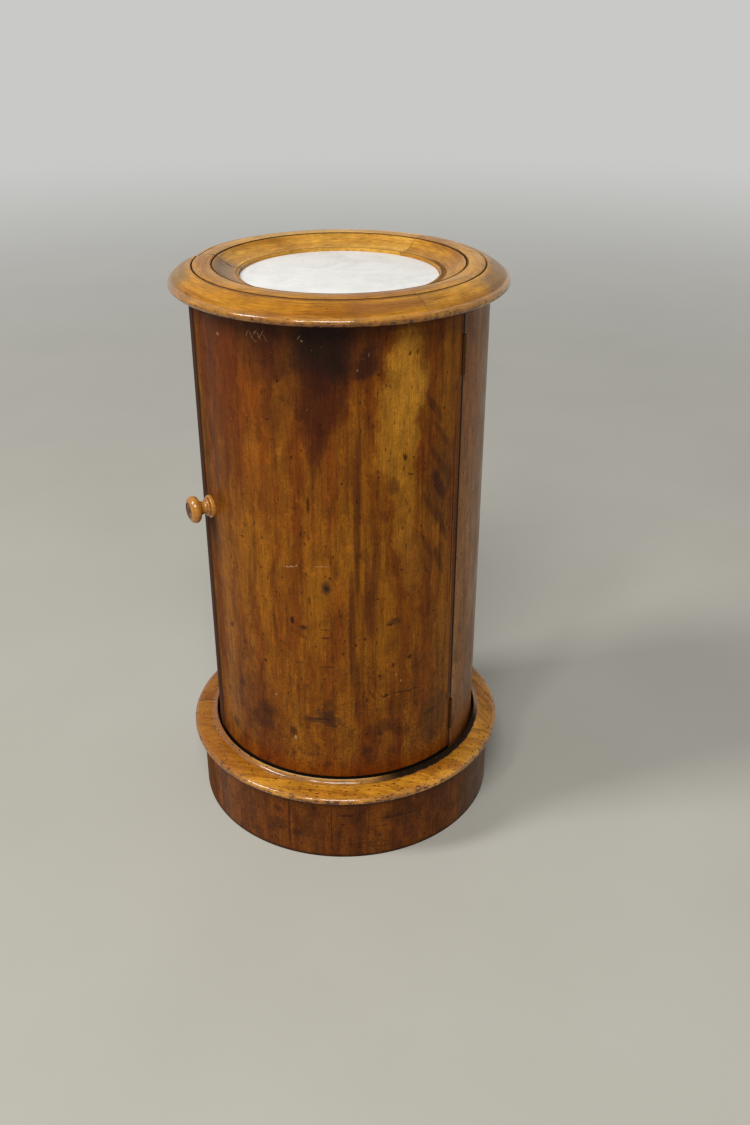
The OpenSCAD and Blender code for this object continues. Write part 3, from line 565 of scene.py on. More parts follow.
    worn = add(tree, "MapRange", {"Value": rough, "From Min": 0.4, "From Max": 0.6, "To Max": 0.85})
    chipped = add(tree, "Math", {0: worn.outputs[0], 1: edge}, operation="MULTIPLY").outputs[0]
    base = add(tree, "Mix", {0: chipped, 6: base, 7: linear("#3c1a0a")}, data_type="RGBA").outputs[2]

    # Dark lines where the lengths meet, not quite straight
    shove = add(tree, "TexNoise", {"Vector": place, "Scale": 1 / (22 * MM), "Detail": 3.0}).outputs["Fac"]
    for joint, sway, wide, strength in cracks:
        swing = add(tree, "Math", {0: shove, 1: sway, 2: angle}, operation="MULTIPLY_ADD").outputs[0]
        off = add(tree, "Math", {0: swing, 1: math.radians(joint) + sway / 2}, operation="SUBTRACT")
        away = add(tree, "Math", {0: off.outputs[0]}, operation="ABSOLUTE").outputs[0]
        base = washed(tree, base, "#2c160b", away, wide, wide * 0.4, strength)
    sunk = add(tree, "Math", {0: fleck, 1: -1.2, 2: fibre}, operation="MULTIPLY_ADD")
    bump = add(tree, "Bump", {"Strength": 0.35, "Distance": 0.3 * MM, "Height": sunk.outputs[0]}).outputs[0]
    sheen = {0: dull, 1: 0.5, 2: polish_sheen(tree, place)}
    sheen = add(tree, "Math", sheen, operation="MULTIPLY_ADD").outputs[0]

    # The polish is thickest and brightest where hands rub it, on the nose, and where it lay, in the cove
    coat = thin_coat = 0.2
    for radius, wide in shiny:
        off = add(tree, "Math", {0: out, 1: radius * MM}, operation="SUBTRACT")
        away = add(tree, "Math", {0: off.outputs[0]}, operation="ABSOLUTE").outputs[0]
        ends = {"From Min": wide * MM, "From Max": wide * MM * 0.6}
        band = {"Value": away, **ends, "To Min": thin_coat, "To Max": 1.0}
        thick = add(tree, "MapRange", band).outputs[0]
        coat = add(tree, "Math", {0: thick, 1: coat}, operation="MAXIMUM").outputs[0]
    clear = add(tree, "Math", {0: 1.0, 1: dull}, operation="SUBTRACT")
    coat = add(tree, "Math", {0: coat, 1: clear.outputs[0]}, operation="MULTIPLY").outputs[0]
    gloss_sockets = {"Specular IOR Level": 0.1, "Coat Weight": coat, "Coat Roughness": 0.08}
    finish_surface(tree, base, sheen, bump, **gloss_sockets)
    return material


# Painted shade darkens every upright face alike just under the ring
UNDER_RING_SHADE = (690, 704, "#1c0f09", 0.6)
door_wood = veneer(
    "french_polished_satin_birch_door",
    BODY_R,
    woods=("#965b12", "#74390a", "#4a1e07"),
    stains_and_shade=DOOR_STAINS,
    marks=DOOR_MARKS,
    seams=SEAMS,
    gloss=0.08,
    shift=0.0,
    foot=(150, 112, "#7a3008", 0.55),
    head=UNDER_RING_SHADE,
)
side_wood = veneer(
    "french_polished_satin_birch_side",
    BODY_R,
    woods=("#a8733c", "#8c5426", "#6a3a16"),
    stains_and_shade=SIDE_PAINTED_SHADE,
    marks=(),
    seams=SEAMS[:2],
    gloss=0.18,
    shift=31.0,
    foot=(170, 112, "#6b3212", 0.5),
    head=UNDER_RING_SHADE,
)
drum_wood = veneer(
    "french_polished_satin_birch_plinth",
    DRUM_R,
    woods=("#80460c", "#5e2d07", "#3c1b05"),
    stains_and_shade=PLINTH_STAINS_AND_SHADE,
    marks=PLINTH_MARKS,
    seams=(),
    gloss=0.08,
    shift=57.0,
    # Painted shade along the foot, where the plinth meets the floor, and along the head, under the cap's nose
    foot=(7, 0, "#120b07", 0.92),
    head=(82, 96, "#2a1409", 0.7),
)
lipping_wood = veneer(
    "french_polished_lipping",
    BODY_R,
    woods=("#7a4416", "#66340c", "#4a2208"),
    stains_and_shade=(),
    marks=(),
    seams=SEAMS,
    gloss=0.08,
    shift=83.0,
    foot=(150, 112, "#4a2410", 0.5),
    head=UNDER_RING_SHADE,
)


# ---------------------------------------------------------------- other finishes


def white_marble():
    """Honed white marble: a soft, even white with faint grey clouds and a few thin veins, dulled by use."""
    material, tree = new_material("honed_white_marble")
    place = add(tree, "TexCoord").outputs["Object"]
    clouds = {"Vector": place, "Scale": 1 / (38 * MM), "Detail": 6.0, "Roughness": 0.62, "Distortion": 0.6}
    cloud = add(tree, "TexNoise", clouds).outputs["Fac"]
    tone = add(tree, "MapRange", {"Value": cloud, "From Min": 0.42, "From Max": 0.74, "To Max": 0.6})
    whites = {0: tone.outputs[0], 6: linear("#efeee9"), 7: linear("#cfcdc6")}
    base = add(tree, "Mix", whites, data_type="RGBA").outputs[2]
    veins = {"Vector": place, "Scale": 1 / (55 * MM), "Detail": 5.0, "Roughness": 0.6, "Distortion": 1.4}
    vein = add(tree, "TexNoise", veins)
    off = add(tree, "Math", {0: vein.outputs["Fac"], 1: 0.5}, operation="SUBTRACT")
    away = add(tree, "Math", {0: off.outputs[0]}, operation="ABSOLUTE").outputs[0]
    base = washed(tree, base, "#b9b8b2", away, 0.012, 0.0, 0.35)
    grit = add(tree, "TexNoise", {"Vector": place, "Scale": 1 / (0.9 * MM), "Detail": 2.0})
    relief = {"Strength": 0.12, "Distance": 0.1 * MM, "Height": grit.outputs["Fac"]}
    bump = add(tree, "Bump", relief).outputs[0]
    rough = add(tree, "MapRange", {"Value": cloud, "To Min": 0.36, "To Max": 0.52}).outputs[0]
    finish_surface(tree, base, rough, bump, **{"IOR": 1.5})
    return material


def bare_softwood(name, grain, light, dark, rim=0.0, shift=0.0):
    """Sawn and planed softwood, browned by age: matt, with broad soft growth bands along the grain."""
    material, tree = new_material(name)
    place = add(tree, "TexCoord").outputs["Object"]
    lay = {"Vector": place, "Location": (shift, shift, shift), "Scale": grain}
    lie = add(tree, "Mapping", lay).outputs[0]
    growth = {"Vector": lie, "Scale": 1.0, "Detail": 4.0, "Roughness": 0.55, "Distortion": 0.3}
    rings = add(tree, "TexNoise", growth)
    fibres = {"Vector": lie, "Scale": 7.0, "Detail": 2.0, "Roughness": 0.6}
    fibre = add(tree, "TexNoise", fibres).outputs["Fac"]
    tone = add(tree, "MapRange", {"Value": rings.outputs["Fac"], "From Min": 0.38, "From Max": 0.66})
    woods_mixed = {0: tone.outputs[0], 6: linear(light), 7: linear(dark)}
    base = add(tree, "Mix", woods_mixed, data_type="RGBA").outputs[2]
    base = toned(tree, base, fibre, 0.3, 0.7, 0.84, 1.1)
    # Nearly black at a board's rim, beyond 170 mm from the middle
    open_rim = outside(tree, place, 170 * MM, rim)
    base = add(tree, "Mix", {0: open_rim, 6: base, 7: linear("#120b07")}, data_type="RGBA").outputs[2]
    bump = add(tree, "Bump", {"Strength": 0.3, "Distance": 0.2 * MM, "Height": fibre}).outputs[0]
    finish_surface(tree, base, 0.62, bump, **{"Specular IOR Level": 0.2})
    return material


def metal(name, bright, dull, roughness):
    """Old cast and filed fitting: bright where it is rubbed, brown where it isn't, dull at the outside."""
    material, tree = new_material(name)
    place = add(tree, "TexCoord").outputs["Object"]
    clouds = {"Vector": place, "Scale": 1 / (4 * MM), "Detail": 5.0, "Roughness": 0.65}
    cloud = add(tree, "TexNoise", clouds).outputs["Fac"]
    tone = add(tree, "MapRange", {"Value": cloud, "From Min": 0.4, "From Max": 0.62})
    metals = {0: tone.outputs[0], 6: linear(bright), 7: linear(dull)}
    base = add(tree, "Mix", metals, data_type="RGBA").outputs[2]
    weathered = outside(tree, place, 173 * MM, 1.0)
    base = add(tree, "Mix", {0: weathered, 6: base, 7: linear("#4e361a")}, data_type="RGBA").outputs[2]
    uneven = {"Value": cloud, "To Min": roughness - 0.1, "To Max": roughness + 0.2}
    rough = add(tree, "MapRange", uneven).outputs[0]
    bump = add(tree, "Bump", {"Strength": 0.2, "Distance": 0.1 * MM, "Height": cloud}).outputs[0]
    finish_surface(tree, base, rough, bump, **{"Metallic": 1.0})
    return material


marble = white_marble()
# Growth bands 7 mm wide and 260 mm long, up a stave or along a board
BAND_W, BAND_LEN = 7 * MM, 260 * MM
UPRIGHT = (1 / BAND_W, 1 / BAND_W, 1 / BAND_LEN)
LEVEL = (1 / BAND_LEN, 1 / BAND_W, 1 / BAND_W)
# Staves that stand side by side never come from one board, so their tones and grain differ
STAVE_TONES = (("#b58753", "#8c6036"), ("#c0925c", "#9a6e42"), ("#a87b49", "#7f552d"))
stave_woods = [
    bare_softwood("aged_softwood_stave_" + "abc"[i], UPRIGHT, light, dark, shift=3.7 * i)
    for i, (light, dark) in enumerate(STAVE_TONES)
]
board_softwood = bare_softwood("aged_softwood_boards", LEVEL, "#b58753", "#8c6036", rim=1.0)
grimy_softwood = bare_softwood("grimy_softwood_blocks", LEVEL, "#2c1d12", "#181009")
brass = metal("tarnished_brass", "#8d7040", "#4a3820", 0.42)
iron = metal("dull_iron", "#6f6a64", "#3d332b", 0.5)


# ---------------------------------------------------------------- turning and moulding

SMOOTH_ANGLE = math.radians(38)


def bow(start, end, rise, steps=12):
    """Points on a circular curve between two points of an outline. It bulges to its left by the rise."""
    chord = math.dist(start, end)
    radius = (chord**2 / 4 + rise**2) / (2 * abs(rise))
    normal = ((start[1] - end[1]) / chord, (end[0] - start[0]) / chord)
    shift = rise - radius if rise > 0 else rise + radius
    centre = [(start[i] + end[i]) / 2 + normal[i] * shift for i in (0, 1)]
    first = math.degrees(math.atan2(start[1] - centre[1], start[0] - centre[0]))
    sweep = math.degrees(2 * math.asin(min(1, chord / 2 / radius))) * (-1 if rise > 0 else 1)
    return arc(centre, radius, first, first + sweep, steps)


def arc(centre, radius, first, last, steps=12):
    """Points on an arc of an outline, between two angles in degrees."""
    turns = [math.radians(first + (last - first) * i / steps) for i in range(steps + 1)]
    return [(centre[0] + radius * math.cos(t), centre[1] + radius * math.sin(t)) for t in turns]


def only(piece):
    """Selects one piece and makes it the active one."""
    bpy.ops.object.select_all(action="DESELECT")
    piece.select_set(True)
    bpy.context.view_layer.objects.active = piece


def turn(name, outline, segments):
    """Turns an outline of (radius, height) round the upright axis, from a circle extruded step by step."""
    bpy.ops.object.select_all(action="DESELECT")
    radius, height = outline[0]
    bpy.ops.mesh.primitive_circle_add(vertices=segments, radius=radius, location=(0, 0, 0))
    piece = bpy.context.object
    piece.name = piece.data.name = name
    bpy.ops.object.mode_set(mode="EDIT")
    bpy.ops.mesh.select_all(action="SELECT")
    bpy.ops.transform.translate(value=(0, 0, height))
    for out, up in outline[1:]:
        bpy.ops.mesh.extrude_region_move(TRANSFORM_OT_translate={"value": (0, 0, up - height)})
        bpy.ops.transform.resize(value=(out / radius, out / radius, 1), center_override=(0, 0, 0))
        radius, height = out, up
    bpy.ops.object.mode_set(mode="OBJECT")
    return piece


def pick_points(piece, chosen):
    """Goes into edit mode with only the chosen points of a piece selected."""
    only(piece)
    bpy.ops.object.mode_set(mode="EDIT")
    bpy.ops.mesh.select_mode(type="VERT")
    bpy.ops.mesh.select_all(action="DESELECT")
    bpy.ops.object.mode_set(mode="OBJECT")
    for i in chosen:
        piece.data.vertices[i].select = True
    bpy.ops.object.mode_set(mode="EDIT")


def face_outwards():
    """Points all faces of the piece in edit mode outwards, and leaves edit mode."""
    bpy.ops.mesh.select_all(action="SELECT")
    bpy.ops.mesh.normals_make_consistent(inside=False)
    bpy.ops.object.mode_set(mode="OBJECT")


def close_section(piece, segments):
    """Joins the first and the last circle of a turned section, as on a ring."""
    count = len(piece.data.vertices)
    pick_points(piece, [*range(segments), *range(count - segments, count)])
    bpy.ops.mesh.bridge_edge_loops()
    face_outwards()


def close_poles(piece, segments):
    """Draws the first and the last circle of a turned piece together into points on its axis."""
    count = len(piece.data.vertices)
    for circle in (range(count - segments, count), range(segments)):
        pick_points(piece, circle)
        bpy.ops.mesh.merge(type="CENTER")
        bpy.ops.object.mode_set(mode="OBJECT")
    bpy.ops.object.mode_set(mode="EDIT")
    face_outwards()


def curved_length(whole, name, first, last, crack):
    """Cuts one length between two joints out of a whole moulded ring, half a crack short of each joint."""
    only(whole)
    bpy.ops.object.duplicate()
    piece = bpy.context.object
    piece.name = piece.data.name = name
    bpy.ops.object.mode_set(mode="EDIT")
    for angle, side in ((first, -1), (last, 1)):
        tangent = Vector((math.cos(math.radians(angle)), math.sin(math.radians(angle)), 0))
        cut = -side * crack / 2 * tangent
        bpy.ops.mesh.select_all(action="SELECT")
        bpy.ops.mesh.bisect(plane_co=cut, plane_no=side * tangent, use_fill=True, clear_outer=True)
    bpy.ops.object.mode_set(mode="OBJECT")
    return piece


def ease_edges(piece, width, angle, segments=2):
    """Rounds the sharp edges a little, as rubbing down and handling do, and merges what falls together."""
    only(piece)
    bevel = piece.modifiers.new("eased", "BEVEL")
    bevel.width = width
    bevel.segments = segments
    bevel.limit_method = "ANGLE"
    bevel.angle_limit = math.radians(angle)
    bpy.ops.object.modifier_apply(modifier=bevel.name)
    bpy.ops.object.mode_set(mode="EDIT")
    bpy.ops.mesh.select_all(action="SELECT")
    bpy.ops.mesh.remove_doubles(threshold=0.004 * MM)
    bpy.ops.object.mode_set(mode="OBJECT")
    bpy.ops.object.shade_smooth_by_angle(angle=SMOOTH_ANGLE)


def knock(piece, where, size, push):
    """Pushes the surface in round one point, as a knock does."""
    near = min(piece.data.vertices, key=lambda v: (v.co - where).length_squared)
    pick_points(piece, [near.index])
    bpy.ops.transform.translate(
        value=push,
        use_proportional_edit=True,
        proportional_edit_falloff="SMOOTH",
        proportional_size=size,
    )
    bpy.ops.object.mode_set(mode="OBJECT")


def give(piece, body, slot, material, *replaced):
    """Fits a finished piece: its material, the body it rides on, and the nodes it stands for. The slot is not
    used.
    """
    piece.data.materials.clear()
    piece.data.materials.append(material)
    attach(piece, body)
    if replaced:
        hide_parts(*replaced)


# ---------------------------------------------------------------- top ring

RING_STEPS = 960
# How much the arrises of the mouldings are eased, and from what angle between faces
EASED = 0.25 * MM
EASED_FROM = 30


def ring_outline():
    """Section of the top ring: lip, cove, quirk, low band, quirk, ovolo, ledge, nose and hollow."""
    well, edge, low = WELL_R / MM, RING_R / MM, ring_foot / MM
    # The quirks: how far in from the edge they lie, half their width, and their depth
    outer_quirk, inner_quirk, half, deep = edge - 29, edge - 51.9, 0.7, 1.6
    band_in, band_out = 27, 26.7
    lip, nose_r = (well + 2.2, 15.1), 4.6
    nose, foot = (edge - nose_r, 2 * nose_r), (BODY_R / MM + 3, 0)
    ledge = (nose[0] - 0.8, nose[1] + nose_r + 0.6)
    points = [(well, 0), (well, lip[1])]
    points += bow(lip, (inner_quirk - half, band_in), -3.4, 14)
    points += [(inner_quirk, band_in - deep)]
    points += bow((inner_quirk + half, band_in), (outer_quirk - half, band_out), 1, 12)
    points += [(outer_quirk, band_out - deep)]
    points += bow((outer_quirk + half, band_out), ledge, 1.8, 18)
    points += arc(nose, nose_r, 82, -90, 18)
    points += bow((foot[0] + 4.6, 4.6), foot, -1, 6)
    return [(r * MM, (z + low) * MM) for r, z in points]


# Lighter and darker wood of each length
RING_WOODS = {"left": ("#c98a22", "#9a5e12"), "right": ("#cf9430", "#a2681c"), "back": ("#dba544", "#b67a26")}
# Dirt and wear on the ring, with painted shade outside the outer quirk in front and painted reflections at
# the left and the right: (radius and half width in mm, colour, strength, the angle of its middle, and how far
# it reaches each way from there)
RING_DIRT_AND_PAINTED_LIGHT = (
    (170.6, 1.5, "#1c0e06", 0.95, 0, 132),
    # Painted shade just outside the outer quirk, across the front
    (172.4, 2.6, "#5a300c", 0.6, 0, 66),
    (147.8, 1.3, "#1c0e06", 0.95, 0, 180),
    (148.6, 2.2, "#241308", 0.9, 180, 120),
    (118.5, 3, "#6a4420", 0.5, 0, 110),
    (120.2, 1.4, "#4a2a10", 0.75, 180, 130),
    (122, 4, "#5e3a16", 0.75, 92, 40),
    # Painted reflection: a pale grey sheen on the cove at the left
    (133, 15, "#7c6650", 0.7, -72, 26),
    (188, 14, "#7a6238", 0.65, -82, 30),
    # Painted reflection: a grey sheen on the slope and nose at the right
    (186, 13, "#705a42", 0.5, 90, 26),
    (184, 10, "#7c5434", 0.4, 28, 18),
)
# Joints between the lengths: (angle, how far the line sways, half its width in radians, strength)
RING_CRACKS = ((-90.6, 0.16, 0.014, 0.97), (38.5, 0.06, 0.003, 0.35), (150, 0.06, 0.004, 0.5))
# Where the ring was knocked, beside its open joint: (angle, how far the dent reaches in mm)
RING_KNOCKS = ((-90, 26), (-96, 40))
KNOCK_DEPTH = (0.8 * MM, 0, -2.2 * MM)
# Edge of the ring's nose, and how far wear reaches up and down from it
RING_NOSE = (199.5, 712, 4)
whole_ring = turn("whole_ring", ring_outline(), RING_STEPS)
close_section(whole_ring, RING_STEPS)
for side, (first, last) in RING_JOINTS.items():
    piece = curved_length(whole_ring, "top_ring_" + side, first, last, crack=0.25 * MM)
    ease_edges(piece, EASED, EASED_FROM)
    light, dark = RING_WOODS[side]
    wood = moulding(
        "french_polished_ring_" + side,
        middle=(first + last) / 2,
        cracks=RING_CRACKS,
        light=light,
        dark=dark,
        grime=RING_DIRT_AND_PAINTED_LIGHT,
        nose=RING_NOSE,
        flecked=0.13,
        shiny=((198.5, 5),),
        follows=True,
    )
    if side == "back":
        for angle, size in RING_KNOCKS:
            knock(piece, spot(angle, RING_R - 10 * MM, ring_foot + 17 * MM), size * MM, KNOCK_DEPTH)
    give(piece, "carcass", "moulding_wood", wood, "ring_length_" + side)
bpy.data.objects.remove(whole_ring)


# ---------------------------------------------------------------- plinth cap


def cap_outline():
    """Section of the plinth cap: cove at the body, quirk, long rounded slope and nose."""
    inside, edge, low, nose, top = CAP_IN / MM, CAP_R / MM, cap_foot / MM, 5, 18.3
    # The slope runs from the foot of the cove to the brow of the nose
    cove_low = (inside + 6, top - 5.6)
    brow_at = math.radians(75)
    brow = (edge - nose + nose * math.cos(brow_at), nose + nose * math.sin(brow_at))
    points = [(inside, 0), (inside, top)]
    points += bow((inside + 1.1, top), cove_low, -1.5, 10)
    points += bow(cove_low, brow, 1.5, 18)[1:]
    points += arc((edge - nose, nose), nose, 68, -90, 18)
    return [(r * MM, (z + low) * MM) for r, z in points]


# Marks on the cap, in the same columns as on the ring: a darker brown in the cove, a painted highlight on its
# inner arris, painted shade in the gap at the body, the body's painted shadow in the cove on the right, and
# darker orange on the left
CAP_DIRT_AND_PAINTED_LIGHT = (
    (184.6, 3.0, "#6a4218", 0.5, 0, 180),
    # Painted highlight along the inner arris, at the front
    (181.6, 0.9, "#d0ac78", 0.6, -14, 44),
    # Painted shade in the gap between the cap and the body, all round
    (180.6, 0.9, "#140c07", 0.9, 0, 180),
    # The body's painted shadow in the cove, on the right
    (183, 4.6, "#0c0704", 0.97, 58, 42),
    (200, 34, "#7a3e08", 0.62, -84, 66),
)
CAP_CRACKS = ((-82, 0.06, 0.005, 0.8), (78.4, 0.06, 0.005, 0.9), (177, 0.06, 0.004, 0.5))
CAP_NOSE = (212.5, 101, 4)
whole_cap = turn("whole_cap", cap_outline(), RING_STEPS)
close_section(whole_cap, RING_STEPS)
for side, (first, last) in CAP_JOINTS.items():
    piece = curved_length(whole_cap, "plinth_cap_" + side, first, last, crack=0.4 * MM)
    ease_edges(piece, EASED, EASED_FROM)
    wood = moulding(
        "french_polished_cap_" + side,
        middle=(first + last) / 2,
        cracks=CAP_CRACKS,
        light="#d8962a",
        dark="#a06018",
        grime=CAP_DIRT_AND_PAINTED_LIGHT,
        nose=CAP_NOSE,
        flecked=0.27,
        shiny=((211.5, 4.5), (185, 4.5)),
        follows=False,
    )
    give(piece, "carcass", "moulding_wood", wood, "cap_length_" + side)
bpy.data.objects.remove(whole_cap)


# ---------------------------------------------------------------- marble

MARBLE_STEPS = 240
MARBLE_ARRIS = 0.8 * MM
MARBLE_ARRIS_FROM = 60
bpy.ops.object.select_all(action="DESELECT")
bpy.ops.mesh.primitive_cylinder_add(
    vertices=MARBLE_STEPS,
    radius=(marble_hi.x - marble_lo.x) / 2,
    depth=marble_hi.z - marble_lo.z,
    location=(0, 0, (marble_lo.z + marble_hi.z) / 2),
)
marble_top = bpy.context.object
marble_top.name = marble_top.data.name = "marble_top"
bpy.ops.object.transform_apply(location=True, rotation=True, scale=True)
ease_edges(marble_top, MARBLE_ARRIS, MARBLE_ARRIS_FROM, 4)
give(marble_top, "carcass", "marble", marble, "marble_disc")


# ---------------------------------------------------------------- knob and rose

KNOB_STEPS = 128
# The lathe's axis, upright, is laid level and turned to the closing edge
towards_knob = Matrix.Rotation(math.radians(KNOB_ANGLE), 4, "Z") @ Matrix.Rotation(math.radians(90), 4, "X")
knob_place = Matrix.Translation((0, 0, KNOB_Z)) @ towards_knob


def turned_wood():
    """Hardwood turned on a lathe and french polished: grain along the knob, and a dark, matt face."""
    material, tree = new_material("french_polished_turned_knob")
    place = add(tree, "TexCoord").outputs["Object"]
    centred = {
        "Vector": place,
        "Location": spot(KNOB_ANGLE, BODY_R, KNOB_Z),
        "Rotation": (0, 0, math.radians(KNOB_ANGLE)),
    }
    axis = add(tree, "Mapping", centred, vector_type="TEXTURE").outputs[0]
    stretch = (1 / (2.2 * MM), 1 / (14 * MM), 1 / (2.2 * MM))
    lie = add(tree, "VectorMath", {0: axis, 1: stretch}, operation="MULTIPLY")
    fibres = {"Vector": lie.outputs[0], "Scale": 1.0, "Detail": 4.0, "Roughness": 0.6}
    fibre = add(tree, "TexNoise", fibres).outputs["Fac"]
    tone = add(tree, "MapRange", {"Value": fibre, "From Min": 0.3, "From Max": 0.7})
    woods_mixed = {0: tone.outputs[0], 6: linear("#c88a32"), 7: linear("#8f5418")}
    base = add(tree, "Mix", woods_mixed, data_type="RGBA").outputs[2]

    # The end grain in the dish of its face, and the shaded neck
    part = add(tree, "SeparateXYZ", {0: axis})
    round_axis = add(tree, "CombineXYZ", {"X": part.outputs["X"], "Z": part.outputs["Z"]})
    out = add(tree, "VectorMath", {0: round_axis.outputs[0]}, operation="LENGTH").outputs["Value"]
    ahead = part.outputs["Y"]
    face = add(tree, "MapRange", {"Value": ahead, "From Min": -26.5 * MM, "From Max": -28.5 * MM})
    inner = add(tree, "MapRange", {"Value": out, "From Min": 12 * MM, "From Max": 9 * MM})
    dark = add(tree, "Math", {0: face.outputs[0], 1: inner.outputs[0]}, operation="MULTIPLY").outputs[0]
    base = add(tree, "Mix", {0: dark, 6: base, 7: linear("#4e2a14")}, data_type="RGBA").outputs[2]
    hollow = add(tree, "MapRange", {"Value": out, "From Min": 10.6 * MM, "From Max": 9.4 * MM})
    neck = add(tree, "MapRange", {"Value": ahead, "From Min": -9.5 * MM, "From Max": -7 * MM, "To Max": 0.7})
    shade = add(tree, "Math", {0: hollow.outputs[0], 1: neck.outputs[0]}, operation="MULTIPLY").outputs[0]
    base = add(tree, "Mix", {0: shade, 6: base, 7: linear("#6a2e10")}, data_type="RGBA").outputs[2]
    bump = polish_bump(tree, place, fibre, 9 * MM)
    coat = add(tree, "MapRange", {"Value": dark, "To Min": 0.7, "To Max": 0.1}).outputs[0]
    gloss_sockets = {"Specular IOR Level": 0.2, "Coat Weight": coat, "Coat Roughness": 0.08}
    finish_surface(tree, base, polish_sheen(tree, place), bump, **gloss_sockets)
    return material


def knob_outline():
    """Outline of the knob from its back to its face, as (radius, distance from the axis of the body)."""
    # The round rim of the head, the dish in its face, and the neck behind it
    back, face, rim_r, pole = 181.3, 206.4, 6.2, 0.05
    rim = (16.9 - rim_r, face - rim_r - 1)
    dish = rim[0] - 2.2
    head_at = math.radians(-72)
    head = (rim[0] + rim_r * math.cos(head_at), rim[1] + rim_r * math.sin(head_at))
    neck = (7.9, (back + 3 + head[1]) / 2)
    points = [(pole, back)] + arc((9.7, back + 1.5), 1.5, -90, 90, 10)
    points += bow((8.9, back + 3), neck, 0.5, 8) + bow(neck, head, 0.9, 8)[1:]
    points += arc(rim, rim_r, -66, 78, 18)
    points += [(dish + 1, face - 0.25), (dish, face - 1.2), (3.4, face - 1.2)]
    points += bow((3.4, face - 0.7), (pole, face - 0.35), -0.1, 4)
    return [(r * MM, d * MM) for r, d in points]


def rose_outline():
    """Outline of the turned rose between the knob and the door, round the hole for the spindle."""
    hole, foot, bead, top = 3.15, 176, 1.7, 181
    rim = 14
    points = [(hole, foot), (rim, foot)] + arc((rim - bead, top - bead), bead, 0, 90, 8) + [(hole, top)]
    return [(r * MM, d * MM) for r, d in points]


knob_wood = turned_wood()
knob = turn("turned_knob", knob_outline(), KNOB_STEPS)
rose = turn("turned_rose", rose_outline(), KNOB_STEPS)
close_poles(knob, KNOB_STEPS)
close_section(rose, KNOB_STEPS)
for piece, body, node in ((knob, "latch", "knob"), (rose, "door", "knob_rose")):
    piece.matrix_world = knob_place
    only(piece)
    bpy.ops.object.transform_apply(location=True, rotation=True, scale=True)
    bpy.ops.object.shade_smooth_by_angle(angle=SMOOTH_ANGLE)
    give(piece, body, "turned_wood", knob_wood, node)


# ---------------------------------------------------------------- finishes of the construction's own pieces

SLOT_FINISHES = {
    "core_wood": stave_woods[0],
    "body_veneer": side_wood,
    "door_veneer": door_wood,
    "drum_veneer": drum_wood,
    "lipping_wood": lipping_wood,
    "brass": brass,
    "iron": iron,
}
# Pieces whose finish differs from that of their slot
OWN_FINISHES = {
    "top_board": board_softwood,
    "floor_board": board_softwood,
    "shelf": board_softwood,
    "lower_course": board_softwood,
    "upper_course": grimy_softwood,
    "hinge_jamb": stave_woods[-1],
    "closing_jamb": stave_woods[-1],
}
slots = {row["node"]: row["material_slot"] for row in frame["record"]["subparts"]}
for name, node in nodes.items():
    finish = OWN_FINISHES.get(name, SLOT_FINISHES.get(slots[name]))
    if name.startswith(("wall_stave_", "door_stave_")):
        finish = stave_woods[int(name[-1]) % len(stave_woods)]
    if finish:
        for slot in node.material_slots:
            slot.material = finish


# ---------------------------------------------------------------- floor and light

BACKDROP = "#c9c9c7"
FLOOR_SIZE = 120
# The floor takes the backdrop's colour between these distances, in metres
FLOOR_NEAR, FLOOR_FAR = 0.9, 6.0


def seen_directly(tree):
    """1 for rays that the camera sees, straight or in a reflection, and 0 for those that light the object."""
    ray = add(tree, "LightPath").outputs
    seen = {0: ray["Is Camera Ray"], 1: ray["Is Glossy Ray"]}
    seen = add(tree, "Math", seen, operation="MAXIMUM").outputs[0]
    return add(tree, "Math", {0: seen, 1: ray["Is Transmission Ray"]}, operation="MAXIMUM").outputs[0]


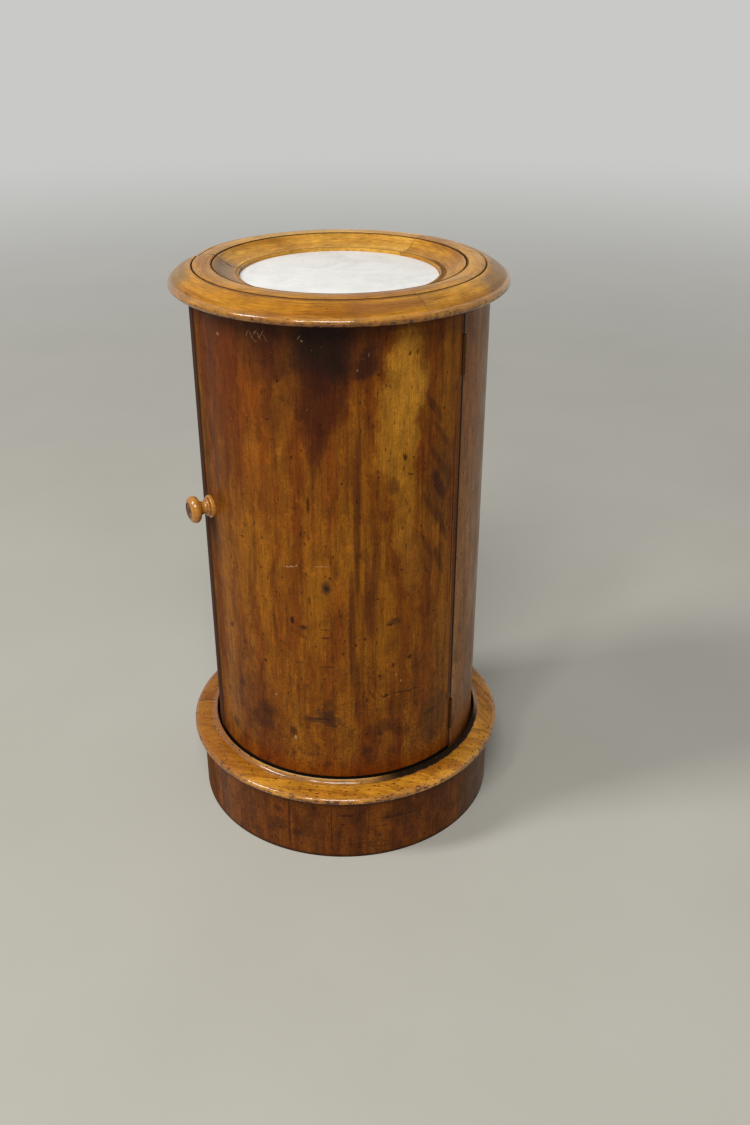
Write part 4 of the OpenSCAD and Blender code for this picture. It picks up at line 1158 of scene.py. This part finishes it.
def pale_floor():
    """Smooth pale concrete, matt, with faint clouds. Far off it is seen in the backdrop's plain colour,
    so that it doesn't darken away from the lights."""
    material, tree = new_material("pale_floor")
    place = add(tree, "TexCoord").outputs["Object"]
    cloud = add(tree, "TexNoise", {"Vector": place, "Scale": 3.0, "Detail": 6.0}).outputs["Fac"]
    greys = {0: cloud, 6: linear("#b3b0a4"), 7: linear("#c0bdb2")}
    grey = add(tree, "Mix", greys, data_type="RGBA").outputs[2]
    grit = add(tree, "Bump", {"Strength": 0.1, "Distance": 0.3 * MM, "Height": cloud}).outputs[0]
    near = add(tree, "BsdfPrincipled", {"Base Color": grey, "Roughness": 0.6, "Normal": grit}).outputs[0]
    distance = add(tree, "VectorMath", {0: place}, operation="LENGTH").outputs["Value"]
    far = {"Value": distance, "From Min": FLOOR_NEAR, "From Max": FLOOR_FAR}
    away = add(tree, "MapRange", far, interpolation_type="SMOOTHSTEP").outputs[0]
    share = add(tree, "Math", {0: away, 1: seen_directly(tree)}, operation="MULTIPLY").outputs[0]
    plain = add(tree, "Emission", {"Color": linear(BACKDROP), "Strength": 1.0}).outputs[0]
    both = add(tree, "MixShader", {0: share, 1: near, 2: plain})
    add(tree, "OutputMaterial", {"Surface": both.outputs[0]})
    return material


bpy.ops.object.select_all(action="DESELECT")
bpy.ops.mesh.primitive_plane_add(size=FLOOR_SIZE, location=(0, 0, 0))
floor = bpy.context.object
floor.name = "floor"
floor.data.materials.append(pale_floor())

LIGHT_DISTANCE = 7
LIGHT_AIM = Vector((0, 0, 0.4))


def softbox(name, angle, elevation, wide, tall, power):
    """A soft light so wide and tall, turned towards the middle of the cupboard."""
    light = bpy.data.objects.new(name, bpy.data.lights.new(name, "AREA"))
    bpy.context.scene.collection.objects.link(light)
    light.data.shape = "RECTANGLE"
    light.data.size = wide
    light.data.size_y = tall
    light.data.energy = power
    rise = math.radians(elevation)
    light.location = spot(angle, LIGHT_DISTANCE * math.cos(rise), LIGHT_DISTANCE * math.sin(rise))
    light.rotation_euler = (LIGHT_AIM - light.location).to_track_quat("-Z", "Y").to_euler()


softbox("left_light", angle=-64, elevation=47, wide=1.2, tall=3.0, power=215)
softbox("front_light", angle=4, elevation=52, wide=2.4, tall=2.4, power=235)
softbox("window_light", angle=-19, elevation=46, wide=0.6, tall=2.2, power=75)

world = bpy.data.worlds.new("studio")
bpy.context.scene.world = world
world.use_nodes = True
world.node_tree.nodes.clear()
tree = world.node_tree
sky = add(tree, "Background", {"Color": linear("#e6e7ea"), "Strength": 0.2})
backdrop = add(tree, "Background", {"Color": linear(BACKDROP), "Strength": 1.0})
both = add(tree, "MixShader", {0: seen_directly(tree), 1: sky.outputs[0], 2: backdrop.outputs[0]})
add(tree, "OutputWorld", {"Surface": both.outputs[0]})

bpy.context.scene.view_settings.view_transform = "Standard"
